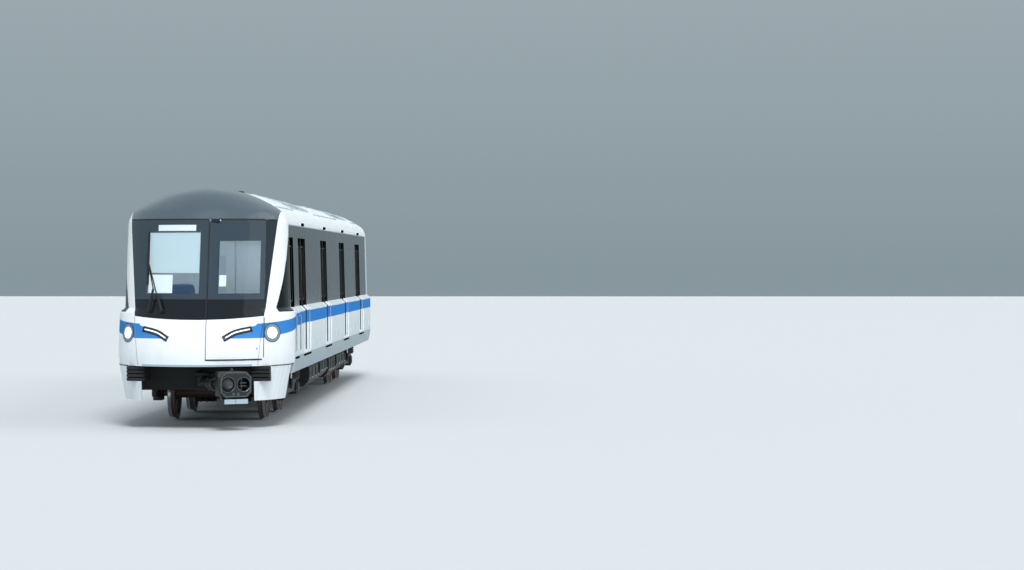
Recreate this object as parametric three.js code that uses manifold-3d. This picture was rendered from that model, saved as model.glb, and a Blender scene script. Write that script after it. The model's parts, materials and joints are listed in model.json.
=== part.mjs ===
// Driving car of a metro train: a hollow body on two bogies, with sliding pocket doors,
// a raked nose with an evacuation door, and a coupler that swings.
// Millimetres. X runs across the car, Y from the nose towards the rear, Z up from rail level.
// The train's own left side is +X, because it travels towards -Y.
import * as THREE from 'three';
import { mergeVertices } from 'three/addons/utils/BufferGeometryUtils.js';
import Module from 'manifold-3d';

const wasm = await Module();
wasm.setup();

// Driving dimensions

const FLANGE_DEPTH = 28;          // wheel flange below rail level, so the model stands on flange tips
const ORIGIN_Y = 9955.23;         // the origin lies this far behind the nose, at mid length
const CAR_END = 20000;            // rear face of the end wall
const NOSE_END = 1750;            // the nose module meets the side walls here
const SHELL = 60;                 // thickness of the nose shell
const GLASS = 12;                 // thickness of the nose panes
const TOUCH = 0.3;                // gap between pieces that rest on each other
const RUN = 6;                    // gap around a piece that moves
const FLOOR = 1100;
const FLOOR_BOTTOM = 1000;
const SOLE_BOTTOM = 800;
const WALL = 125;                 // whole side wall, skin to lining
const CANTRAIL = 3200;            // the side wall ends and the roof starts
const CEILING = 3280;
const LEDGE_LOW = 1790;
const LEDGE_TOP = 1865;
const BAND_DEPTH = 10;            // window band glass
const WALL_INNER = 1400 - WALL;   // inner face of the wall beside the floor
const LINING_LOW = 1220;          // inner face of the wall at the ledge, and at the cantrail
const LINING_TOP = 1160;
const COVE_TOP = 1050;            // half width of the flat ceiling

const DOORWAY_CENTRES = [3980, 8340, 12700, 17060];
const DOORWAY_HALF = 650;
const DOORWAY_TOP = 3000;
const POCKET_HALF = 1310;         // from the doorway's centre to a pocket's closed end
const POCKET_TOP = 3050;
const POCKET_DEPTHS = [20, 72];   // from the skin
const LEAF_DEPTHS = [30, 60];
const LEAF_INNER_EDGE = 3;        // from the doorway's centre
const LEAF_OUTER_EDGE = 675;
const LEAF_BOTTOM = 1107;
const LEAF_TOP = 3041;

const LEAF_WINDOW = { centre: 325, half: 215 };
const DOOR_GLASS = [1960, 2860];  // heights of the windows in all the side doors
const CAB_DOOR_FRAME = 110;       // metal before and behind the cab door's window
const CAB_DOOR = { front: 1870, rear: 2500, bottom: 1150, top: 3000 };
const CAB_DOOR_DEPTHS = [25, 70];
const CAB_HINGE_LOW = [1285, 2500, 1100];
const CAB_HINGE_HIGH = [1190, 2500, 3000];

const BOGIE_CENTRES = [4200, 16800];
const HALF_WHEELBASE = 1100;
const WHEEL_RADIUS = 420;

// Body sections, from the skirt to the crown. The walls, roof and nose all use them.
// Columns: height, half width, distance of the nose front behind the foremost point.
const SECTIONS = [
  [420, 1290, 20],
  [800, 1355, 0],
  [950, 1385, 0],
  [1100, 1400, 0],
  [1200, 1400, 0],
  [1470, 1400, 45],
  [1740, 1400, 120],
  [LEDGE_LOW, 1400, 135],
  [LEDGE_TOP, 1320, 157],
  [CANTRAIL, 1285, 549],
  [3270, 1271, 570],
  [3385, 1220, 660],
  [3450, 1140, 711],
  [3550, 971, 810],
  [3650, 762, 950],
  [3720, 561, 1110],
  [3770, 346, 1300],
  [3799, 60, 1490],
];
const HEIGHT = 0;
const HALF_WIDTH = 1;
const NOSE_FRONT = 2;

const COLOURS = {
  white: [0xf2f5f6, 0.35, 0.0],
  mask: [0x2f3b45, 0.18, 0.1],
  glass: [0x151b20, 0.1, 0.1],
  steel: [0x7c8388, 0.45, 0.8],
  black: [0x1a1c1e, 0.7, 0.2],
  grey: [0x9aa3a8, 0.55, 0.1],
  rubber: [0x17181a, 0.85, 0.0],
  lamp: [0xf6f8fa, 0.15, 0.0],
  seat: [0x2c4a6b, 0.8, 0.0],
};

// Solids from three.js geometry, joined and cut

function solidOf(geometry) {
  geometry.deleteAttribute('normal');
  geometry.deleteAttribute('uv');
  const merged = mergeVertices(geometry, 1e-3);
  return new wasm.Manifold(new wasm.Mesh({
    numProp: 3,
    vertProperties: Float32Array.from(merged.attributes.position.array),
    triVerts: Uint32Array.from(merged.index.array),
  }));
}

function geometryOf(solid) {
  const mesh = solid.getMesh();
  const geometry = new THREE.BufferGeometry();
  geometry.setAttribute('position', new THREE.BufferAttribute(mesh.vertProperties, 3));
  geometry.setIndex(new THREE.BufferAttribute(mesh.triVerts, 1));
  geometry.computeVertexNormals();
  return geometry;
}

function joined(solids) {
  return solids.reduce((whole, solid) => whole.add(solid));
}

function cut(solid, tools) {
  return tools.reduce((rest, tool) => rest.subtract(tool), solid);
}

// The same solid on the other side of the car's centre plane.
function mirrored(solid) {
  const { vertProperties, triVerts } = solid.getMesh();
  const positions = vertProperties.map((value, index) => (index % 3 === 0 ? -value : value));
  const corners = triVerts.map((_, index) => triVerts[index - (index % 3) + 2 - (index % 3)]);
  return new wasm.Manifold(new wasm.Mesh({
    numProp: 3,
    vertProperties: positions,
    triVerts: corners,
  }));
}

function box([x0, x1], [y0, y1], [z0, z1]) {
  const geometry = new THREE.BoxGeometry(x1 - x0, y1 - y0, z1 - z0);
  geometry.translate((x0 + x1) / 2, (y0 + y1) / 2, (z0 + z1) / 2);
  return solidOf(geometry);
}

function extruded(points, depth) {
  const shape = new THREE.Shape(points.map(([u, v]) => new THREE.Vector2(u, v)));
  return new THREE.ExtrudeGeometry(shape, { depth, bevelEnabled: false });
}

// Outline in x and z, drawn out along Y.
function prismAlongY(points, [y0, y1]) {
  const geometry = extruded(points, y1 - y0);
  geometry.rotateX(Math.PI / 2);
  geometry.translate(0, y1, 0);
  return solidOf(geometry);
}

// Outline in y and z, drawn out along X.
function prismAlongX(points, [x0, x1]) {
  const geometry = extruded(points, x1 - x0);
  geometry.applyMatrix4(new THREE.Matrix4().makeBasis(
    new THREE.Vector3(0, 1, 0),
    new THREE.Vector3(0, 0, 1),
    new THREE.Vector3(1, 0, 0),
  ));
  geometry.translate(x0, 0, 0);
  return solidOf(geometry);
}

// Outline in x and y, drawn out along Z.
function prismAlongZ(points, [z0, z1]) {
  const geometry = extruded(points, z1 - z0);
  geometry.translate(0, 0, z0);
  return solidOf(geometry);
}

// Round bar between two points.
function rod(from, to, radius, sides = 16) {
  const start = new THREE.Vector3(...from);
  const end = new THREE.Vector3(...to);
  const along = end.clone().sub(start);
  const geometry = new THREE.CylinderGeometry(radius, radius, along.length(), sides);
  geometry.rotateY(Math.PI / sides);
  const turn = new THREE.Quaternion().setFromUnitVectors(
    new THREE.Vector3(0, 1, 0),
    along.clone().normalize(),
  );
  geometry.applyQuaternion(turn);
  const middle = start.add(end).multiplyScalar(0.5);
  geometry.translate(middle.x, middle.y, middle.z);
  return solidOf(geometry);
}

// A faceted hole must clear the faceted bar that turns in it.
function boreRadius(barRadius, sides) {
  return (barRadius + TOUCH / 2) / Math.cos(Math.PI / sides);
}

// Value of one column of the body sections at a height.
function sectionValue(height, column) {
  const above = SECTIONS.findIndex((row) => row[HEIGHT] >= height);
  const [low, high] = [SECTIONS[Math.max(above - 1, 0)], SECTIONS[above]];
  if (low === high) return high[column];
  const share = (height - low[HEIGHT]) / (high[HEIGHT] - low[HEIGHT]);
  return low[column] + share * (high[column] - low[column]);
}

// Points of the outer skin between two heights, moved inwards by a depth.
function skinLine(depth, [low, high]) {
  const inside = SECTIONS.map((row) => row[HEIGHT]).filter((height) => height > low && height < high);
  return [low, ...inside, high].map((height) => [sectionValue(height, HALF_WIDTH) - depth, height]);
}

// Band between two depths behind the skin.
function skinBand([outerDepth, innerDepth], heights) {
  return [...skinLine(outerDepth, heights), ...skinLine(innerDepth, heights).reverse()];
}

const train = new THREE.Group();
train.position.set(0, -ORIGIN_Y, FLANGE_DEPTH);

function addPiece(name, solid, finish) {
  const [color, roughness, metalness] = COLOURS[finish];
  const material = new THREE.MeshStandardMaterial({ color, roughness, metalness });
  const mesh = new THREE.Mesh(geometryOf(solid), material);
  mesh.name = name;
  train.add(mesh);
}

// The right side's piece is the left side's piece mirrored.
function addPair(name, leftSolid, finish) {
  addPiece(`${name}_left`, leftSolid, finish);
  addPiece(`${name}_right`, mirrored(leftSolid), finish);
}

// Side walls

const WALL_START = NOSE_END + TOUCH;
const ACROSS_WALL = [1000, 1500];  // cutters reach right through a side wall in x
const WALL_END = CAR_END - 80;
const WINDOW_HEIGHTS = [1930, 2850];
const WINDOW_HALF = 820;
const REAR_WINDOW = [18450, 19550];
const BAND_END = 19600;
const BAND_SLOPE_TOP = 1850;      // the white pillar ends here at the cantrail
const BENCH_SECTION = [
  [1280, 1250], [1180, 1300], [820, 1490], [800, 1500], [800, 1540],
  [1180, 1540], [1215, 1780], [1280, 1780],
];
const BENCHES = [[4860, 7460], [9220, 11820], [13580, 16180], [17940, 19700]];
const SCREEN_FRONT = 760;
const SCREEN_SECTION = [           // it ends in the lining, short of the door pockets
  [SCREEN_FRONT, 1300], [1280, 1300], [1280, 1785], [1223, 1862], [1223, 1950], [SCREEN_FRONT, 1950],
];
const SCREEN_HALF = 15;
const POLE_RADIUS = 20;
const SILL = { heights: [1020, 1050], reach: [1370, 1406] };
const GROOVE_DEPTHS = [34, 54];
const TONGUE_DEPTHS = [40, 48];
const GROOVE_BOTTOM = 1085;

function around(centre, half) {
  return [centre - half, centre + half];
}

// The cab door's opening slants forward behind the skin, so that the leaf's corner swings clear.
function cabDoorOpening() {
  const { front, rear, bottom, top } = CAB_DOOR;
  return prismAlongZ([
    [1420, front + 2], [1420, rear], [1100, rear], [1100, front - 36],
  ], [bottom, top]);
}

function cabHingePoint(height) {
  const share = (height - CAB_HINGE_LOW[2]) / (CAB_HINGE_HIGH[2] - CAB_HINGE_LOW[2]);
  return CAB_HINGE_LOW.map((value, axis) => value + share * (CAB_HINGE_HIGH[axis] - value));
}

const CAB_HINGES = [[1360, 1500], [2560, 2700]];
const CAB_PIN = 8;
const CAB_BARREL = 14;
const CAB_BRACKET = 64;            // from the hinge's axis into the door

function cabHingeRod([low, high], radius, sides) {
  return rod(cabHingePoint(low), cabHingePoint(high), radius, sides);
}

function wallOpenings() {
  const openings = [];
  for (const centre of DOORWAY_CENTRES) {
    openings.push(box(ACROSS_WALL, around(centre, DOORWAY_HALF), [FLOOR, DOORWAY_TOP]));
    openings.push(prismAlongY(
      skinBand(POCKET_DEPTHS, [FLOOR, POCKET_TOP]), around(centre, POCKET_HALF)));
    openings.push(prismAlongY(
      skinBand(GROOVE_DEPTHS, [GROOVE_BOTTOM, FLOOR + 5]), around(centre, POCKET_HALF)));
  }
  for (let gap = 0; gap < DOORWAY_CENTRES.length - 1; gap += 1) {
    const middle = (DOORWAY_CENTRES[gap] + DOORWAY_CENTRES[gap + 1]) / 2;
    openings.push(box(ACROSS_WALL, around(middle, WINDOW_HALF), WINDOW_HEIGHTS));
  }
  openings.push(box(ACROSS_WALL, REAR_WINDOW, WINDOW_HEIGHTS));
  openings.push(cabDoorOpening());
  return openings;
}

// Region of the window band in y and z: its front end follows the white pillar.
function bandOutline(gap) {
  const front = NOSE_END + 6 + gap;
  return [
    [front, LEDGE_TOP + gap], [BAND_END - gap, LEDGE_TOP + gap], [BAND_END - gap, CANTRAIL + 1],
    [BAND_SLOPE_TOP + gap, CANTRAIL + 1], [front, 3048 - gap],
  ];
}

function sideWall() {
  const section = [
    ...skinLine(0, [SOLE_BOTTOM, CANTRAIL]), [LINING_TOP, CANTRAIL], [LINING_LOW, LEDGE_TOP],
    [WALL_INNER, LEDGE_LOW], [WALL_INNER, SOLE_BOTTOM],
  ];
  const shell = prismAlongY(section, [WALL_START, WALL_END]);
  const rebate = prismAlongY(skinBand([-20, BAND_DEPTH + TOUCH], [LEDGE_TOP, CANTRAIL]), [NOSE_END, BAND_END])
    .intersect(prismAlongX(bandOutline(0), ACROSS_WALL));
  const hingeNotches = CAB_HINGES.map((span) => cabHingeRod(span, CAB_BARREL + RUN, 12));
  const pieces = [cut(shell, [rebate, ...wallOpenings(), ...hingeNotches])];
  for (const [low, high] of CAB_HINGES) {
    pieces.push(cabHingeRod([low - 30, high + 30], CAB_PIN, 12));
  }
  for (const centre of DOORWAY_CENTRES) {
    pieces.push(box(SILL.reach, around(centre, DOORWAY_HALF), SILL.heights));
  }
  pieces.push(box(SILL.reach, [CAB_DOOR.front, CAB_DOOR.rear], SILL.heights));
  for (const bench of BENCHES) {
    pieces.push(prismAlongY(BENCH_SECTION, bench));
    for (const end of bench) {
      pieces.push(prismAlongY(SCREEN_SECTION, around(end, SCREEN_HALF)));
      const [foot, head] = [FLOOR + TOUCH, CEILING - TOUCH].map((z) => [SCREEN_FRONT, end, z]);
      pieces.push(rod(foot, head, POLE_RADIUS, 6));
    }
  }
  return joined(pieces);
}

function windowBand() {
  const sheet = prismAlongY(skinBand([0, BAND_DEPTH], [LEDGE_TOP + TOUCH, CANTRAIL]), [NOSE_END, BAND_END])
    .intersect(prismAlongX(bandOutline(TOUCH), ACROSS_WALL));
  const doorways = DOORWAY_CENTRES.map(
    (centre) => box(ACROSS_WALL, around(centre, DOORWAY_HALF), [FLOOR, DOORWAY_TOP]));
  return cut(sheet, [...doorways, cabDoorOpening()]);
}

// Sliding door leaf behind the skin, with its guide tongue in the sill's groove.
function doorLeaf(centre, direction) {
  const edges = [centre + direction * LEAF_INNER_EDGE, centre + direction * LEAF_OUTER_EDGE];
  const span = direction > 0 ? edges : edges.reverse();
  const panel = prismAlongY(skinBand(LEAF_DEPTHS, [LEAF_BOTTOM, LEAF_TOP]), span);
  const tongue = prismAlongY(skinBand(TONGUE_DEPTHS, [GROOVE_BOTTOM + 2 * TOUCH, LEAF_BOTTOM + 5]), span);
  const windowMiddle = centre + direction * LEAF_WINDOW.centre;
  const glass = box(ACROSS_WALL, around(windowMiddle, LEAF_WINDOW.half), DOOR_GLASS);
  return cut(joined([panel, tongue]), [glass]);
}

function cabDoor() {
  const { front, rear, bottom, top } = CAB_DOOR;
  const span = [front + 10, rear - RUN];
  const panel = prismAlongY(skinBand(CAB_DOOR_DEPTHS, [bottom + RUN, top - RUN]), span);
  const window = box(ACROSS_WALL, [front + CAB_DOOR_FRAME, rear - CAB_DOOR_FRAME], DOOR_GLASS);
  const pieces = [cut(panel, [window])];
  for (const [low, high] of CAB_HINGES) {
    const [x, y] = cabHingePoint((low + high) / 2);
    pieces.push(cabHingeRod([low + 10, high - 10], CAB_BARREL, 12));
    pieces.push(box([x, x + CAB_BRACKET], [y - 16, y - RUN - 1], [low + 12, high - 12]));
  }
  const bores = CAB_HINGES.map((span) => cabHingeRod(span, boreRadius(CAB_PIN, 12), 12));
  return cut(joined(pieces), bores);
}

addPair('side_wall', sideWall(), 'white');
addPair('window_band', windowBand(), 'glass');
addPair('cab_door', cabDoor(), 'white');
DOORWAY_CENTRES.forEach((centre, index) => {
  addPair(`door_leaf_${index + 1}_front`, doorLeaf(centre, -1), 'white');
  addPair(`door_leaf_${index + 1}_rear`, doorLeaf(centre, 1), 'white');
});

// Nose

const NOSE_DEPTH = 1500;          // length of the plan curve at the waist
const CURVE_END = 1720;           // every plan curve runs parallel to the side from here
const CURVE_STEPS = 20;
const NOSE_BOTTOM = 965;
const MASK_TOP = 3270;            // seam between the panes and the dome
const DOOR_SIDE = 172;            // edge of the evacuation door's opening beside the middle
const DOOR_BOTTOM = 1080;
const DOOR_STRAIGHT = 1020;       // its outer edge is upright above the mask's lower corner
const DOOR_HINGE = [574, 3266];   // y and z of the evacuation door's axis

// Half width of the dark mask at a height.
function maskEdge(height) {
  return 1020 + (height - 1740) * 0.1;
}

// One level of the nose: half an ellipse in plan, closed across the back.
function noseLevel([height, halfWidth, front], inset, rear) {
  const width = Math.max(halfWidth - inset, 5);
  const nearest = front + inset;
  const depth = Math.min(NOSE_DEPTH, CURVE_END - front) - inset;
  const drop = inset * THREE.MathUtils.clamp((height - CANTRAIL) / 250, 0, 1);
  const level = height - drop;
  const points = [new THREE.Vector3(-width, rear, level)];
  for (let step = 0; step <= CURVE_STEPS; step += 1) {
    const angle = Math.PI * (step / CURVE_STEPS - 0.5);
    const y = nearest + depth * (1 - Math.cos(angle));
    points.push(new THREE.Vector3(width * Math.sin(angle), y, level));
  }
  points.push(new THREE.Vector3(width, rear, level));
  return points;
}

// Closed solid through a list of levels with equal numbers of points.
function loft(levels) {
  const count = levels[0].length;
  const positions = levels.flat().flatMap((point) => [point.x, point.y, point.z]);
  const corners = [];
  for (let level = 0; level < levels.length - 1; level += 1) {
    for (let point = 0; point < count; point += 1) {
      const here = level * count + point;
      const next = level * count + ((point + 1) % count);
      corners.push(here, next, next + count, here, next + count, here + count);
    }
  }
  const outline = levels[0].map((point) => new THREE.Vector2(point.x, point.y));
  const last = (levels.length - 1) * count;
  for (const [a, b, c] of THREE.ShapeUtils.triangulateShape(outline, [])) {
    corners.push(a, c, b);
    corners.push(last + a, last + b, last + c);
  }
  const geometry = new THREE.BufferGeometry();
  geometry.setAttribute('position', new THREE.Float32BufferAttribute(positions, 3));
  geometry.setIndex(corners);
  return solidOf(geometry);
}

// The nose's body at a depth behind its skin. An inner body also opens the bottom and the back.
function noseBody(inset) {
  const opening = inset > 0 ? 50 : 0;
  const rows = SECTIONS.map((row) => [...row]);
  rows[0][HEIGHT] -= opening;
  return loft(rows.map((row) => noseLevel(row, inset, NOSE_END + opening)));
}

const outerNose = noseBody(0);
const PROUD = 20;                 // cutters reach this far outside the skin
const grownNose = noseBody(-PROUD);
const cabSpace = noseBody(SHELL);
const shell = outerNose.subtract(cabSpace);
const paneLayer = outerNose.subtract(noseBody(GLASS));
const paneRebate = grownNose.subtract(noseBody(GLASS + TOUCH));
const frameLayer = noseBody(GLASS + TOUCH).subtract(cabSpace);

// Cutter seen from the front: an outline in x and z, straight back through the nose.
function frontCutter(points) {
  return prismAlongY(points, [-200, NOSE_END + 100]);
}

// Lower edge of the dark mask, drooping slightly towards the middle.
const MASK_BOTTOM = [[DOOR_SIDE, 1686], [-400, 1694], [-800, 1718], [-maskEdge(1742), 1742]];

const SEAM = TOUCH / 2;           // each side of a seam between two nose pieces

function frontPanel() {
  const upper = MASK_BOTTOM.map(([x, z]) => [x, z - SEAM]);
  upper[upper.length - 1][0] += SEAM;
  return shell.intersect(frontCutter([
    [-maskEdge(NOSE_BOTTOM) + SEAM, NOSE_BOTTOM + SEAM],
    [maskEdge(NOSE_BOTTOM) - SEAM, NOSE_BOTTOM + SEAM],
    [maskEdge(DOOR_BOTTOM - RUN) - SEAM, DOOR_BOTTOM - RUN],
    [DOOR_SIDE, DOOR_BOTTOM - RUN],
    ...upper,
  ]));
}

function windscreenOutline() {
  const lower = MASK_BOTTOM.map(([x, z]) => [x, z + SEAM]).reverse();
  lower[0][0] += SEAM;
  return [...lower, [DOOR_SIDE, MASK_TOP - SEAM], [-maskEdge(MASK_TOP) + SEAM, MASK_TOP - SEAM]];
}

const CLEAR_PANE = { x: [-830, 40], z: [2100, 3080] };
const CLEAR_DOOR_PANE = { x: [330, 945], z: [2100, 2930] };

function clearOpening({ x, z }) {
  return box(x, [-200, NOSE_END], z);
}

function evacuationDoorOutline(bottom, gap) {
  const lowerEdge = Math.min(maskEdge(bottom), DOOR_STRAIGHT) - gap;
  const outline = [[DOOR_SIDE + gap, bottom], [lowerEdge, bottom]];
  if (bottom < 1740) outline.push([DOOR_STRAIGHT - gap, 1740]);
  return [...outline, [DOOR_STRAIGHT - gap, MASK_TOP - 10], [DOOR_SIDE + gap, MASK_TOP - 10]];
}

const DOOR_MASK_BOTTOM = 1700;
const HINGE_PIN = 5;
const HINGE_BARREL = 9;
const HINGE_SPAN = [195, 325];

function crossRod([y, z], [x0, x1], radius, sides) {
  return rod([x0, y, z], [x1, y, z], radius, sides);
}

// Room for the dome's hinge ears in the door's top edge.
function earNotches() {
  const [low, high] = HINGE_SPAN;
  return [[low - 25, low - 3], [high + 3, high + 25]].map(
    (span) => box(span, [-200, NOSE_END], [DOOR_HINGE[1] - 26, DOOR_HINGE[1] + 20]));
}

function evacuationDoor() {
  const outline = frontCutter(evacuationDoorOutline(DOOR_BOTTOM, RUN));
  const above = box([-1500, 1500], [-200, NOSE_END], [DOOR_MASK_BOTTOM, 4000]);
  const leaf = cut(shell.intersect(outline), [
    paneRebate.intersect(above), clearOpening(CLEAR_DOOR_PANE), ...earNotches(),
  ]);
  const [y, z] = DOOR_HINGE;
  const barrel = crossRod(DOOR_HINGE, HINGE_SPAN, HINGE_BARREL, 12);
  const web = box(HINGE_SPAN, [y - 8, y + 50], [z - 40, z - 4]);
  const bore = crossRod(DOOR_HINGE, [0, 600], boreRadius(HINGE_PIN, 12), 12);
  return cut(joined([leaf, barrel, web]), [bore, bladeLampPocket(1)]);
}

// The pane is cut away round the hinge's barrel and web.
function evacuationPane() {
  const [y, z] = DOOR_HINGE;
  const hinge = box([HINGE_SPAN[0] - 1, HINGE_SPAN[1] + 1], [y - 20, y + 51], [z - 41, z + 20]);
  const pane = paneLayer.intersect(
    frontCutter(evacuationDoorOutline(DOOR_MASK_BOTTOM + TOUCH, RUN)));
  return cut(pane, [hinge, ...earNotches()]);
}

// Pocket for the slim bent lamp, as seen from the front.
const BLADE_LAMP = [
  [440, 1362], [480, 1362], [622, 1462], [850, 1506], [850, 1572], [590, 1526], [440, 1402],
];
const BLADE_POCKET = 15;

function bladeLampPocket(side) {
  const outline = BLADE_LAMP.map(([x, z]) => [side * x, z]);
  return grownNose.subtract(noseBody(BLADE_POCKET)).intersect(frontCutter(outline));
}

// Round headlamp, let into the corner along an axis turned slightly outwards.
const HEADLAMP = { x: 1143, y: 700, z: 1480, radius: 142, turn: 13 };

function headlampRod(radius) {
  const { x, y, z, turn } = HEADLAMP;
  const angle = THREE.MathUtils.degToRad(turn);
  const [dx, dy] = [Math.sin(angle), -Math.cos(angle)];
  return rod([x - 700 * dx, y - 700 * dy, z], [x + 700 * dx, y + 700 * dy, z], radius, 28);
}

// Triangular side window behind the white pillar, in y and z.
const QUARTER_LIGHT = [[940, 1805], [1738, 1805], [1738, 3018]];
const CORNER_TOP = 3600;          // above the skin everywhere beside the dome
const QUARTER_OPENING = [[1040, 1850], [1690, 1850], [1690, 2830]];

function quarterLightPane(outline) {
  return paneLayer.intersect(prismAlongX(outline, ACROSS_WALL));
}

// White corner and pillar of the left side. Its inner edge follows the mask, or the evacuation door.
function noseCorner(upperEdge) {
  const region = frontCutter([
    [maskEdge(NOSE_BOTTOM) + SEAM, NOSE_BOTTOM + SEAM], [1600, NOSE_BOTTOM + SEAM], [1600, CORNER_TOP],
    [maskEdge(CORNER_TOP) + SEAM, CORNER_TOP], [maskEdge(MASK_TOP) + SEAM, MASK_TOP],
    [upperEdge(MASK_TOP) + SEAM, MASK_TOP], [upperEdge(1740) + SEAM, 1740],
  ]);
  const cutRear = box([0, 1600], [-100, NOSE_END - SEAM], [0, 4000]);
  const grownTriangle = QUARTER_LIGHT.map(([y, z], index) => [
    y + (index === 0 ? -1 : TOUCH), z + (index === 2 ? 1 : -TOUCH),
  ]);
  const rebate = paneRebate.intersect(prismAlongX(grownTriangle, ACROSS_WALL));
  return cut(shell.intersect(region).intersect(cutRear), [
    rebate,
    prismAlongX(QUARTER_OPENING, ACROSS_WALL),
    headlampRod(HEADLAMP.radius),
  ]);
}

const leftCorner = noseCorner((height) => Math.min(maskEdge(height), DOOR_STRAIGHT));
const rightCorner = mirrored(noseCorner(maskEdge));

const DOME_TOP = 3900;            // above the crown
const EAR_REACH = 19;             // the hinge's ears end this far outside its barrel

function noseDome() {
  const region = frontCutter([
    [-maskEdge(MASK_TOP) + SEAM, MASK_TOP + SEAM], [maskEdge(MASK_TOP) - SEAM, MASK_TOP + SEAM],
    [maskEdge(DOME_TOP) - SEAM, DOME_TOP], [-maskEdge(DOME_TOP) + SEAM, DOME_TOP],
  ]);
  const rearCut = box([-1600, 1600], [-100, NOSE_END - SEAM], [3000, 4000]);
  const dome = shell.intersect(region).intersect(rearCut);
  const [y, z] = DOOR_HINGE;
  const [low, high] = HINGE_SPAN;
  const notch = crossRod(DOOR_HINGE, [low - RUN, high + RUN], HINGE_BARREL + RUN, 12);
  const pin = crossRod(DOOR_HINGE, [low - EAR_REACH, high + EAR_REACH], HINGE_PIN, 12);
  const ears = [[low - EAR_REACH, low - RUN], [high + RUN, high + EAR_REACH]].map(
    (span) => box(span, [y - 7, y + 60], [z - HINGE_PIN, z + 30]));
  return joined([cut(dome, [notch]), pin, ...ears]);
}

const SKIRT = { top: NOSE_BOTTOM - SEAM, rear: 1350, inner: 885, thickness: 40 };
const CLIMBER = { x: [845, 1125], z: [725, 960], front: 440 };

function cornerSkirt() {
  const skin = outerNose.subtract(noseBody(SKIRT.thickness));
  const region = box([SKIRT.inner, 1500], [-100, SKIRT.rear], [SECTIONS[0][HEIGHT], SKIRT.top]);
  const notch = box(
    [800, CLIMBER.x[1] + TOUCH], [-200, 1000], [CLIMBER.z[0] - TOUCH, CLIMBER.z[1] + 20]);
  return skin.intersect(region).subtract(notch);
}

addPiece('front_panel', frontPanel().subtract(bladeLampPocket(-1)), 'white');
addPiece('windscreen', paneLayer.intersect(frontCutter(windscreenOutline())), 'mask');
addPiece('windscreen_frame',
  cut(frameLayer.intersect(frontCutter(windscreenOutline())), [clearOpening(CLEAR_PANE)]), 'black');
addPiece('nose_corner_left', leftCorner, 'white');
addPiece('nose_corner_right', rightCorner, 'white');
addPiece('nose_dome', noseDome(), 'mask');
addPair('quarter_light', quarterLightPane(QUARTER_LIGHT), 'glass');
addPair('headlamp', shell.intersect(headlampRod(HEADLAMP.radius - TOUCH)), 'lamp');
addPiece('evacuation_door', evacuationDoor(), 'white');
addPiece('evacuation_pane', evacuationPane(), 'mask');
addPair('corner_skirt', cornerSkirt(), 'white');

// Underframe, floor and what hangs from them

const FLOOR_HALF = WALL_INNER - TOUCH;
const SOLE_INNER = 1050;
const CROSS_MEMBERS = [2200, 6100, 7600, 9100, 10500, 12000, 13500, 14700, 18800, 19450];
const BOLSTER_HALF = 300;
const PIVOT = { radius: 90, bottom: 420, sides: 24 };
const JACKING_PADS = [2450, 6000, 14900, 18700];
const FLOOR_END = WALL_END - TOUCH;

function underframe() {
  const doorStep = box([DOOR_SIDE - RUN, DOOR_STRAIGHT], [0, NOSE_END - TOUCH], [DOOR_BOTTOM - RUN, FLOOR])
    .subtract(noseBody(SHELL + RUN));
  const cabFloor = noseBody(SHELL + TOUCH).intersect(
    box([-1400, 1400], [0, NOSE_END - TOUCH], [FLOOR_BOTTOM, FLOOR])).subtract(doorStep);
  const saloonFloor = box([-FLOOR_HALF, FLOOR_HALF], [NOSE_END - 10, FLOOR_END], [FLOOR_BOTTOM, FLOOR]);
  const pieces = [cabFloor, saloonFloor];
  for (const side of [-1, 1]) {
    const span = [side * SOLE_INNER, side * FLOOR_HALF].sort((a, b) => a - b);
    pieces.push(box(span, [NOSE_END + 50, FLOOR_END], [SOLE_BOTTOM, FLOOR_BOTTOM + 5]));
    const pad = around(side * 1160, 60);
    for (const y of JACKING_PADS) {
      pieces.push(box(pad, around(y, 60), [SOLE_BOTTOM - 30, SOLE_BOTTOM + 5]));
    }
  }
  const across = [-SOLE_INNER - 5, SOLE_INNER + 5];
  for (const y of CROSS_MEMBERS) {
    pieces.push(box(across, around(y, 40), [SOLE_BOTTOM + 60, FLOOR_BOTTOM + 5]));
  }
  pieces.push(box(across, [FLOOR_END - 170, FLOOR_END], [SOLE_BOTTOM, FLOOR_BOTTOM + 5]));
  for (const y of BOGIE_CENTRES) {
    pieces.push(box(across, around(y, BOLSTER_HALF), [SOLE_BOTTOM, FLOOR_BOTTOM + 5]));
    pieces.push(rod([0, y, PIVOT.bottom], [0, y, SOLE_BOTTOM + 5], PIVOT.radius, PIVOT.sides));
  }
  return joined(pieces);
}

// Equipment cases between the bogies. Columns: front, rear, bottom.
const CASES = [
  [6350, 8300, 360],
  [8600, 10250, 400],
  [10550, 12150, 340],
  [12450, 14600, 380],
];

function underfloorCase([front, rear, bottom]) {
  const top = SOLE_BOTTOM - TOUCH;
  const body = prismAlongY([
    [-1190, top - 60], [-1160, top], [1160, top], [1190, top - 60],
    [1190, bottom + 90], [1100, bottom], [-1100, bottom], [-1190, bottom + 90],
  ], [front, rear]);
  const lids = [];
  const count = 3;
  const pitch = (rear - front) / count;
  for (let lid = 0; lid < count; lid += 1) {
    const span = around(front + pitch * (lid + 0.5), pitch / 2 - 35);
    for (const x of [[-1205, -1185], [1185, 1205]]) {
      lids.push(box(x, span, [bottom + 120, top - 90]));
    }
  }
  return joined([body, ...lids]);
}

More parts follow.
